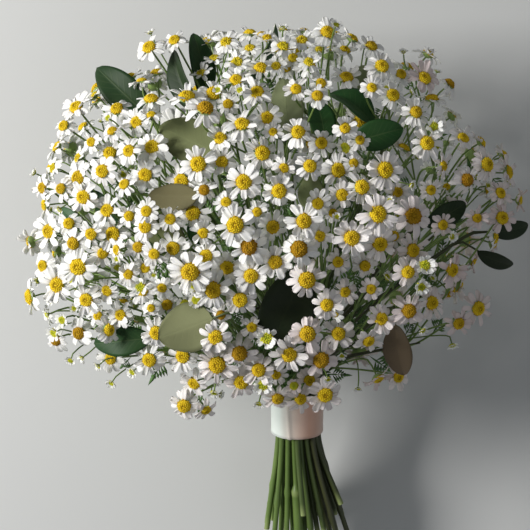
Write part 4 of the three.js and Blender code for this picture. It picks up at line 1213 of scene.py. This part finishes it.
# %% [markdown]
# Daisy leaves are cut into narrow lobes. Each small leaf is a rib with pairs of thin blades, every one
# a closed needle, and a tree puts the kinds at points along the stalks and stems.

# %% Small cut leaves
def needle(verts, faces, start, end, width):
    """A thin closed blade from start to end, widest past its middle."""
    side = (end - start).normalized().cross(UP).normalized() * width / 2
    middle = start.lerp(end, 0.6)
    first = len(verts)
    high = UP * 0.02
    verts += [start, middle + side, middle + high, middle - side, middle - high, end]
    for a, b in ((1, 2), (2, 3), (3, 4), (4, 1)):
        faces += [(first, first + b, first + a), (first + 5, first + a, first + b)]


def cut_leaf(name, pairs, spread, curl):
    """A leaf of narrow lobes along X, 1 long."""
    verts, faces = [], []
    foot, middle, tip = (Vector((x, 0, -curl * x * x)) for x in (0, 0.5, 1.0))
    needle(verts, faces, foot, middle + ACROSS * 0.1, 0.07)
    needle(verts, faces, middle, tip, 0.12)
    for pair in range(pairs):
        x = 0.28 + 0.5 * pair / pairs
        root = Vector((x, 0, -curl * x * x))
        reach = 0.42 - 0.08 * pair
        for sign in (-1, 1):
            step = Vector((reach * math.cos(spread), sign * reach * math.sin(spread), -curl * 0.3))
            needle(verts, faces, root, root + step, 0.1)
    return closed_mesh(name, verts, faces)


leaflet_shelf = shelf("leaflet_kinds", [
    cut_leaf("leaflet_0", 4, 0.85, 0.25),
    cut_leaf("leaflet_1", 3, 0.7, 0.1),
    cut_leaf("leaflet_2", 5, 1.0, 0.4),
])
ANY_LEAFLET = 2.999  # all three kinds are drawn from


def leaflet_plan(tree, given):
    spread, seed = given["Size Spread"], given["Seed"]
    size = named(tree, "radius") * chance(seed, 1 - spread, 1 + spread, 1)
    kind = calculate("FLOOR", chance(seed, 0, ANY_LEAFLET, 2))
    return instances(given["Geometry"], given["Leaf Kinds"], facing_rotation(tree),
                     combined(tree, size, size, size), kind)


LEAFLET_TREE = growing_tree("cut_leaves", {
    "Leaf Kinds": "Collection", "Size Spread": "Float", "Seed": "Int",
}, leaflet_plan)
LEAFLET = green_material("cut_leaf_green", (104, 142, 72), (56, 92, 42), 120, 0.55)


def leaflet_points(spots):
    """Points for small leaves from (place, direction, size) in mm; X runs along each leaf."""
    return point_mesh(
        "leaflets", [place for place, _, _ in spots],
        facing=[way.to_track_quat("X", "Z").to_euler() for _, way, _ in spots],
        radius=[size * MM for _, _, size in spots],
    )


# %% [markdown]
# Stems and stalks follow paths, so one tree makes them all: each path is a chain of edges with a radius
# at every point, Mesh to Curve turns it into a curve, and Curve to Mesh sweeps a small circle along it.
# The paths bend smoothly through the points that were found on the solids.

# %% Paths of stems and stalks
CUT_STEM = 1.42
UPPER_STEM = 1.05
JOINTS_AT = (-60, -28)  # below the band, along the axis of the bunch
THICK_JOINT_AT = -40
JOINT_LENGTH = 2.0
THICK_BELOW = BAND_HALF + 6  # a stem is as thick as where it is cut up to here
STEM_FAN = 30
THICK_STEM = 2.5
JOINT_RADIUS = 2.6
THICK_STEM_END = (286, 527)
STALK = 0.5
NECK_STALK = 0.42
BUD_STALK = 0.36
STALK_TONE = 0.85
STEM_LEAVES = 3
LEAFLET_MARGIN = 3


def smooth_path(points, spacing):
    """Points on a curve through all the given ones (a centripetal Catmull-Rom curve)."""
    ends = [points[0] * 2 - points[1], *points, points[-1] * 2 - points[-2]]
    found = []
    for four in zip(ends, ends[1:], ends[2:], ends[3:]):
        knots = [0.0]
        for here, there in zip(four, four[1:]):
            knots.append(knots[-1] + max(0.01, (there - here).length) ** 0.5)
        count = max(1, round((four[2] - four[1]).length / spacing))
        for i in range(count):
            found.append(curve_point(four, knots, knots[1] + (knots[2] - knots[1]) * i / count))
    return found + [points[-1]]


def curve_point(points, knots, t):
    """Rounds of straight blends between neighbours, the last one between the middle knots."""
    for span in (1, 2):
        pairs = zip(points, points[1:], knots, knots[span:])
        points = [a.lerp(b, (t - low) / (high - low)) for a, b, low, high in pairs]
    return points[0].lerp(points[1], (t - knots[1]) / (knots[2] - knots[1]))


def stem_rod(path, thick):
    """Points and radii of a stem: thicker from the band down, swollen at a joint, thin at its tip."""
    points = smooth_path(path, 1.5 if thick else 3)
    joint_at = THICK_JOINT_AT if thick else draw.uniform(*JOINTS_AT)
    growth = THICK_STEM / CUT_STEM - 1 if thick else 0
    rod = []
    for number, point in enumerate(points):
        place = along_axis(point)
        tip = max(0, number / (len(points) - 1) - 0.7) / 0.3
        radius = CUT_STEM if place < THICK_BELOW else UPPER_STEM - (UPPER_STEM - STALK) * tip
        if place < -BAND_HALF - 4:
            joint = (0.4 if thick else 0.34) * math.exp(-(((place - joint_at) / JOINT_LENGTH) ** 2))
            swell = growth * clamped((joint_at + 2.5 - place) / 4)
            radius *= (0.96 if thick else draw.uniform(0.93, 0.98)) + joint + swell
        rod.append((point, radius))
    return rod


def stalk_rod(path, bloom):
    """Points and radii of a bloom's stalk, from inside its stem to its cup."""
    root = on_path(path, bloom["root"])
    before = on_path(path, max(0.4, bloom["root"] - 0.06))
    seat = bloom["middle"] - bloom["facing"] * (PRESSED_LIFT * 0.5 if bloom["flat"] else CALYX_DEPTH * 0.8)
    behind = bloom["neck"]
    if not bloom["bent"]:
        length = (seat - root).length
        neck = min(4.0, 0.3 * length)
        behind = (seat - bloom["facing"] * neck).lerp(seat.lerp(root, neck / length), 0.5)
    points = smooth_path([before, root, behind, seat], 5)
    return [(point, STALK) for point in points[:-2]] + [(point, NECK_STALK) for point in points[-2:]]


def bud_rod(bud, stalks):
    """The side stalk of a bud, from its bloom's stalk."""
    stalk = [point for point, _ in stalks[id(bud["parent"])]]
    fork = max(1, len(stalk) // 2)
    before = stalk[max(0, len(stalk) // 2 - 1)]
    seat = bud["middle"] - bud["facing"] * 1.2
    points = smooth_path([before, stalk[fork], seat - bud["facing"] * 3.5, seat], 4)
    return [(point, BUD_STALK) for point in points]


def stem_tone_and_painted_shade(path):
    """A drawn tone plus painted light and shade: light green for stems that come out at the left of the
    band, olive for those at the right, where the bunch lies in shade.
    """
    side = (path[0] - BAND_CENTRE).x / STEM_FAN
    return clamped(0.45 - 0.55 * side + draw.uniform(-0.2, 0.2))


def grow_rods(name, rods, sides, tone=STALK_TONE):
    """Rods of one tone, which for a stem holds painted light and shade; pale at the cut end and a little
    at the thick joint.
    """
    points = [point for rod in rods for point, _ in rod]
    radii = [radius * MM for rod in rods for _, radius in rod]
    edges = []
    first = 0
    for rod in rods:
        edges += [(i, i + 1) for i in range(first, first + len(rod) - 1)]
        first += len(rod)
    places = [along_axis(point) for point in points]
    cut = min(min(places) + 0.5, -40)
    pale = [0.8 if place < cut else 0.45 if radius > JOINT_RADIUS * MM else 0.0
            for place, radius in zip(places, radii)]
    mesh = point_mesh(name, points, edges, thickness=radii, tone=[tone] * len(points), pale=pale)
    return grow(name, mesh, ROD_TREE, {"Sides": sides, "Material": STALK_GREEN})


def rod_plan(tree, given):
    curve = put(tree, "GeometryNodeMeshToCurve", (given["Geometry"],))
    circle = put(tree, "GeometryNodeCurvePrimitiveCircle", {"Resolution": given["Sides"], "Radius": 1})
    return put(tree, "GeometryNodeCurveToMesh", {
        "Curve": curve, "Profile Curve": circle, "Scale": named(tree, "thickness"), "Fill Caps": True,
    })


def clear_of_hearts(place, way, size):
    """Whether a small leaf stays clear of every heart, and isn't seen over one."""
    for bloom in ALL_BLOOMS:
        near = HEART_SHARE * bloom["radius"] + LEAFLET_MARGIN
        if any((place + way * size * share - bloom["middle"]).length < near for share in (0.4, 0.7, 1.0)):
            return False
    return not over_heart(place + way * size * 0.6, size * 0.3)


def leaf_spot(place, ahead, size):
    way = (ahead - place).normalized()
    aside = sideways_of(way, draw.uniform(0, math.tau))
    return place, (way * draw.uniform(0.4, 1.1) + aside).normalized(), size


def leaf_spots(path, rods):
    """Where small leaves grow: one on each stalk, and some on the upper stem."""
    spots = []
    for rod in rods:
        i = draw.randrange(1, max(2, len(rod) - 2))
        spots.append(leaf_spot(rod[i][0], rod[i + 1][0], draw.uniform(8, 15)))
    for _ in range(STEM_LEAVES):
        share = draw.uniform(0.62, 0.95)
        spots.append(leaf_spot(on_path(path, share), on_path(path, share + 0.03), draw.uniform(10, 16)))
    return [(place, way, size) for place, way, size in spots
            if fits_inside(place + way * size, 2) and clear_of_hearts(place, way, size)]


def cut_end_order(name):
    """Low for a spray whose cut end lies high and is seen near to the thick stem's."""
    end = stem_paths[name][0]
    return (to_picture(end) - Vector(THICK_STEM_END)).length - 1.5 * (end - BAND_CENTRE).z


ROD_TREE = growing_tree("rods", {"Sides": "Int"}, rod_plan)
THICK = min(SPRAYS, key=cut_end_order)
rod_faces = 0
for number, name in enumerate(SPRAYS):
    path = stem_paths[name]
    tone = stem_tone_and_painted_shade(path)
    stem = grow_rods("stem", [stem_rod(path, name == THICK)], 9, tone)
    stalk_rods = {id(bloom): stalk_rod(path, bloom) for bloom in blooms[name]}
    bud_rods = [bud_rod(bud, stalk_rods) for bud in buds[name]]
    stalks = grow_rods("stalks", [*stalk_rods.values(), *bud_rods], 6)
    cups = grow("cups", bloom_points(blooms[name] + buds[name]), CUP_TREE, {
        "Cup Share": 0.39, "Cup Depth": 0.24, "Cup Kinds": cup_shelf, "Material": CUP_GREEN,
    })
    spots = leaf_spots(path, stalk_rods.values())
    leaflets = grow("leaflets", leaflet_points(spots), LEAFLET_TREE, {
        "Leaf Kinds": leaflet_shelf, "Size Spread": 0.2, "Seed": number * SEED_STEP, "Material": LEAFLET,
    })
    greenery = joined("stalks_" + name[-2:], [stem, stalks, cups, leaflets])
    pieces.append((greenery, name, None))
    rod_faces += len(greenery.data.polygons)
print("faces of stems, stalks and cups:", rod_faces)

# %% [markdown]
# A leaf's blade is a closed shell on a fine grid. Its width swells smoothly from the base and runs out
# to a point, and its margin waves a little. U runs across the blade and V along it, and an attribute
# says which side a corner is on, because the underside is paler.

# %% Leaf blades
LEAF_ROWS = 25
LEAF_COLUMNS = 11
PETIOLE_END = 0.14  # share of the blade that the leaf's stalk runs under


def blade(leaf, number):
    fold = leaf["fold"]

    def point_at(u, s, side):
        across = u * 2 - 1
        thin = 0.3 * (1 - 0.6 * abs(across)) * min(1, 8 * s, 8 * (1 - s)) + 0.05
        across *= min(1, 60 * s + 0.02)
        swell = max(0.0, math.sin(math.pi * min(1, s ** 0.95)) ** 0.6)
        wide = leaf["half"] * swell * across
        bend = abs(wide) * math.sin(fold) * (1 - 0.25 * abs(across))
        wave = 0.05 * leaf["half"] * across * across * math.sin(s * 9 + number)
        spot = leaf_middle(leaf, s) + leaf["across"] * wide * math.cos(fold)
        return (spot + leaf["face"] * (bend + wave) + leaf["face"] * side * thin) * MM

    stations = [row / (LEAF_ROWS - 1) for row in range(LEAF_ROWS)]
    mesh, spots = shell(f"blade_{number}", stations, LEAF_COLUMNS, point_at)
    add_attribute(mesh, "under", [float(side < 0) for _, _, side in spots])
    # The tone carries painted shade as well as the leaf's own colour.
    add_attribute(mesh, "tone", [leaf["tone"]] * len(spots))
    add_attribute(mesh, "faded", [leaf["faded"]] * len(spots))
    mesh.materials.append(LEAF)
    return bpy.data.objects.new(mesh.name, mesh)


def vein_group():
    """A mask of midrib and side veins on a leaf's UV map."""
    inputs = {"Count": "Float", "Slant": "Float"}
    tree, given, result = start_tree("leaf_veins", "ShaderNodeTree", inputs, "Veins", "Float")
    across, along = across_and_along(tree)
    aside = calculate("ABSOLUTE", across - 0.5)
    rows = along - aside ** 0.8 * given["Slant"]
    wave = calculate("PINGPONG", rows * given["Count"], 0.5)
    side = calculate("MAXIMUM", 1 - wave * 7, 0) * (0.55 - aside)
    rib = calculate("MAXIMUM", 1 - aside * 28, 0)
    feed(result, calculate("MAXIMUM", side, rib))
    return tree


def leaf_material():
    material, tree = new_material("leaf_green")
    veins = put(tree, "ShaderNodeGroup", (9, 0.42), node_tree=vein_group())
    tone = attribute(tree, "tone")
    under = attribute(tree, "under")
    # Painted shade: a leaf's tone is partly its own colour and partly the shade it lies in; a low tone
    # paints the top near black.
    top = ramp(tone, {0.0: (14, 20, 14), 0.5: (19, 42, 24), 0.75: (32, 78, 36), 1.0: (74, 102, 78)})
    low = ramp(tone, {0.0: (66, 70, 44), 0.5: (98, 106, 66), 1.0: (156, 166, 126)})
    mottled = toned(tree, 90, 0.35, blend(tree, under, top, low), (70, 84, 44))
    veined = blend(tree, veins * (tone * 0.16), mottled, (150, 162, 110))
    return painted(material, {
        "Base Color": blend(tree, attribute(tree, "faded"), veined, (112, 94, 76)),
        "Normal": bump(veins, 0.35, 0.2, invert=True),
        "Roughness": 0.52 + under * 0.28,
        "Specular IOR Level": 0.22,
    })


def petiole(leaf, path, first):
    """The rod from the stem to the blade."""
    away = leaf["face"] * (-0.5 if leaf["face"].z > 0 else 0.5)
    start = leaf_middle(leaf, 0) + away
    inner = leaf_middle(leaf, PETIOLE_END) + away
    foot = start - (inner - start).normalized() * NECK_LENGTH
    if first:
        points = smooth_path([*path[:5], foot, start, inner], 7)
        radii = [CUT_STEM if along_axis(point) < THICK_BELOW else 0.9 for point in points]
    else:
        points = smooth_path([on_path(path, 0.62), on_path(path, 0.7), foot, start, inner], 6)
        radii = [0.6] * len(points)
    return list(zip(points, radii[:-2] + [0.5, 0.3]))


LEAF = leaf_material()
for name in LEAFY_STEMS:
    path = stem_paths[name]
    own = [number for number, leaf in enumerate(leaves) if leaf["stem"] == name]
    own.sort(key=lambda number: (leaf_middle(leaves[number], PETIOLE_END) - path[-1]).length)
    blades = joined("leaves_" + name[-2:], [blade(leaves[number], number) for number in own])
    rods = [petiole(leaves[number], path, number == own[0]) for number in own]
    stem = grow_rods("leaf_stems_" + name[-2:], rods, 9, stem_tone_and_painted_shade(path))
    pieces += [(blades, name, "leaf"), (stem, name, None)]
print("leaves on stems:", [sum(leaf["stem"] == name for leaf in leaves) for name in LEAFY_STEMS])

# %% [markdown]
# The ribbon is a strip of satin wound round the stems once, with its end lapped over its start. It is
# a thin sheet with soft edges that bulges a little over the stems, so it is swept by a formula: a turn
# for each column, a height for each row, and a radius that grows where the end lies over the start.

# %% Ribbon
BAND_HEIGHT = 22
BAND_INSIDE = 13.05
SATIN_THICKNESS = 0.5
LAP_SHARE = 0.2
LAP_START = math.radians(-96)
CLIMB_FROM = 0.96  # in turns, where the end begins to lie over the start
CLIMB_OVER = 0.06
LAP_GAP = 0.06
STEM_BUMPS = 0.12
SLOW_BUMPS = 0.08
HEM_SWAY = 0.25
CREASE_DEPTH = 0.8
CREASE_AT = math.radians(109)
CREASE_WIDTH = math.radians(4)
PAINTED_SHADE_WIDTH = math.radians(70)
RIBBON_COLUMNS = 150
RIBBON_ROWS = 13


def ribbon_radius(share):
    """Radius of the strip's middle at a share of its length; the lapped end climbs over the start."""
    climb = clamped((share * (1 + LAP_SHARE) - CLIMB_FROM) / CLIMB_OVER)
    smooth = climb * climb * (3 - 2 * climb)
    return BAND_INSIDE + SATIN_THICKNESS / 2 + smooth * (SATIN_THICKNESS + LAP_GAP)


def ribbon_turn(share):
    return LAP_START + share * (1 + LAP_SHARE) * math.tau


def turned_from(turn, other):
    """How far one turn lies past another, within half a turn either way."""
    return (turn - other + math.pi) % math.tau - math.pi


def ribbon_point(share, v, side):
    """A place on the ribbon, a share of its length along it and v across it, on one of its sides."""
    height = v * 2 - 1
    turn = ribbon_turn(share)
    edge = abs(height) ** 6 * 0.25
    bumps = STEM_BUMPS * math.sin(turn * 9 + 1.3) * (1 - 0.4 * abs(height))
    bumps += SLOW_BUMPS * math.sin(turn * 4 + height * 2)
    crease = CREASE_DEPTH * math.exp(-((turned_from(turn, CREASE_AT + 0.05 * height) / CREASE_WIDTH) ** 2))
    radius = ribbon_radius(share) + bumps + crease + edge * 0.4 + side * SATIN_THICKNESS / 2
    along = height * BAND_HEIGHT / 2 * 0.985 + HEM_SWAY * math.sin(turn * 2.0 + height)
    outward = ACROSS * math.cos(turn) + DEEP * math.sin(turn)
    return (BAND_CENTRE + outward * radius + AXIS * along) * MM


def painted_warm_shade_share(share):
    """How much painted warm shade a place shows, as peach: most on the shaded side, right of the crease.
    """
    past = turned_from(ribbon_turn(share), CREASE_AT)
    return clamped(0.35 - past / PAINTED_SHADE_WIDTH) * (1 - abs(past) / math.pi) ** 0.5


def satin_material():
    material, tree = new_material("satin_ribbon")
    uv = put(tree, "ShaderNodeUVMap", uv_map="UVMap")
    weave = put(tree, "ShaderNodeTexWave", {"Scale": 160, "Vector": uv}, out="Fac",
                wave_type="BANDS", bands_direction="X")
    # Painted light: the pale mint is the satin's lit side, and the peach paints its shaded side in warm
    # reflected light.
    painted_lit_side = toned(tree, 120, 0.5, (240, 248, 242), (222, 234, 224))
    painted_shade_peach = toned(tree, 120, 0.6, (218, 160, 130), (194, 128, 98))
    return painted(material, {
        "Base Color": blend(tree, attribute(tree, "warm"), painted_lit_side, painted_shade_peach),
        "Roughness": 0.38,
        "Anisotropic": 0.6,
        "Normal": bump(weave, 0.15, 0.04),
        "Sheen Weight": 0.3,
    })


rows = [row / (RIBBON_ROWS - 1) for row in range(RIBBON_ROWS)]
ribbon_mesh, spots = shell("ribbon", rows, RIBBON_COLUMNS, ribbon_point)
# This attribute paints shade and warm reflected light on the ribbon as peach.
add_attribute(ribbon_mesh, "warm", [painted_warm_shade_share(share) for share, _, _ in spots])
ribbon_mesh.materials.append(satin_material())
ribbon = place_object("ribbon", ribbon_mesh)

# %% [markdown]
# Each piece rides on the one body and takes the place of the plain solid that it was grown on.

# %% Hand the pieces to the frame
for piece, name, look in pieces:
    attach(piece, "root")
    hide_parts(name)
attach(ribbon, "root")
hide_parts("ribbon_band")
print(len(pieces) + 1, "pieces")

# %% [markdown]
# The stage is a plain floor, a large soft light from the upper left, a weaker one from the right, and
# a camera straight above the head, as far away as the picture's perspective says. A small shift puts
# the head as high in the frame as it is in the picture. The Standard view transform shows colours as
# they are set, while AgX would wash out the yellow of the hearts.

# %% Floor, light and camera
floor_mesh = bpy.data.meshes.new("floor")
floor_mesh.from_pydata([(-3, -3, 0), (3, -3, 0), (3, 3, 0), (-3, 3, 0)], [], [(0, 1, 2, 3)])
grey, _ = new_material("floor_grey")
floor_mesh.materials.append(painted(grey, {"Base Color": (206, 207, 206), "Roughness": 0.9}))
floor = place_object("floor", floor_mesh)


def area_light(name, place, aim, size, power, tint):
    light = bpy.data.lights.new(name, "AREA")
    light.size = size
    light.energy = power
    light.color = tint
    lamp = place_object(name, light)
    lamp.location = place
    lamp.rotation_euler = (Vector(aim) - Vector(place)).to_track_quat("-Z", "Y").to_euler()


AIM = (0, 0.03, 0.08)
area_light("key_light", (-0.86, 0.2, 0.68), AIM, 0.36, 13.2, (1.0, 0.985, 0.96))
area_light("fill_light", (1.6, -0.9, 1.9), AIM, 2.5, 6.4, (0.95, 0.97, 1.0))
world = bpy.data.worlds.new("studio")
world.use_nodes = True
sky = world.node_tree.nodes["Background"].inputs
sky["Color"].default_value = (0.9, 0.95, 1.0, 1)
sky["Strength"].default_value = 0.17
bpy.context.scene.world = world
bpy.context.scene.view_settings.view_transform = "Standard"

SENSOR = 36
camera_data = bpy.data.cameras.new("camera")
camera_data.sensor_width = SENSOR
camera_data.lens = SENSOR * EYE_DISTANCE / (PICTURE * MM_PER_PIXEL)
camera_data.shift_x = (PICTURE / 2 - HEAD_PIXEL[0]) / PICTURE
camera_data.shift_y = (HEAD_PIXEL[1] - PICTURE / 2) / PICTURE
camera = place_object("camera", camera_data)
camera.location = (HEAD.x * MM, HEAD.y * MM, (HEAD.z + EYE_DISTANCE) * MM)
bpy.context.scene.camera = camera
print("lens", round(camera_data.lens, 1), "mm")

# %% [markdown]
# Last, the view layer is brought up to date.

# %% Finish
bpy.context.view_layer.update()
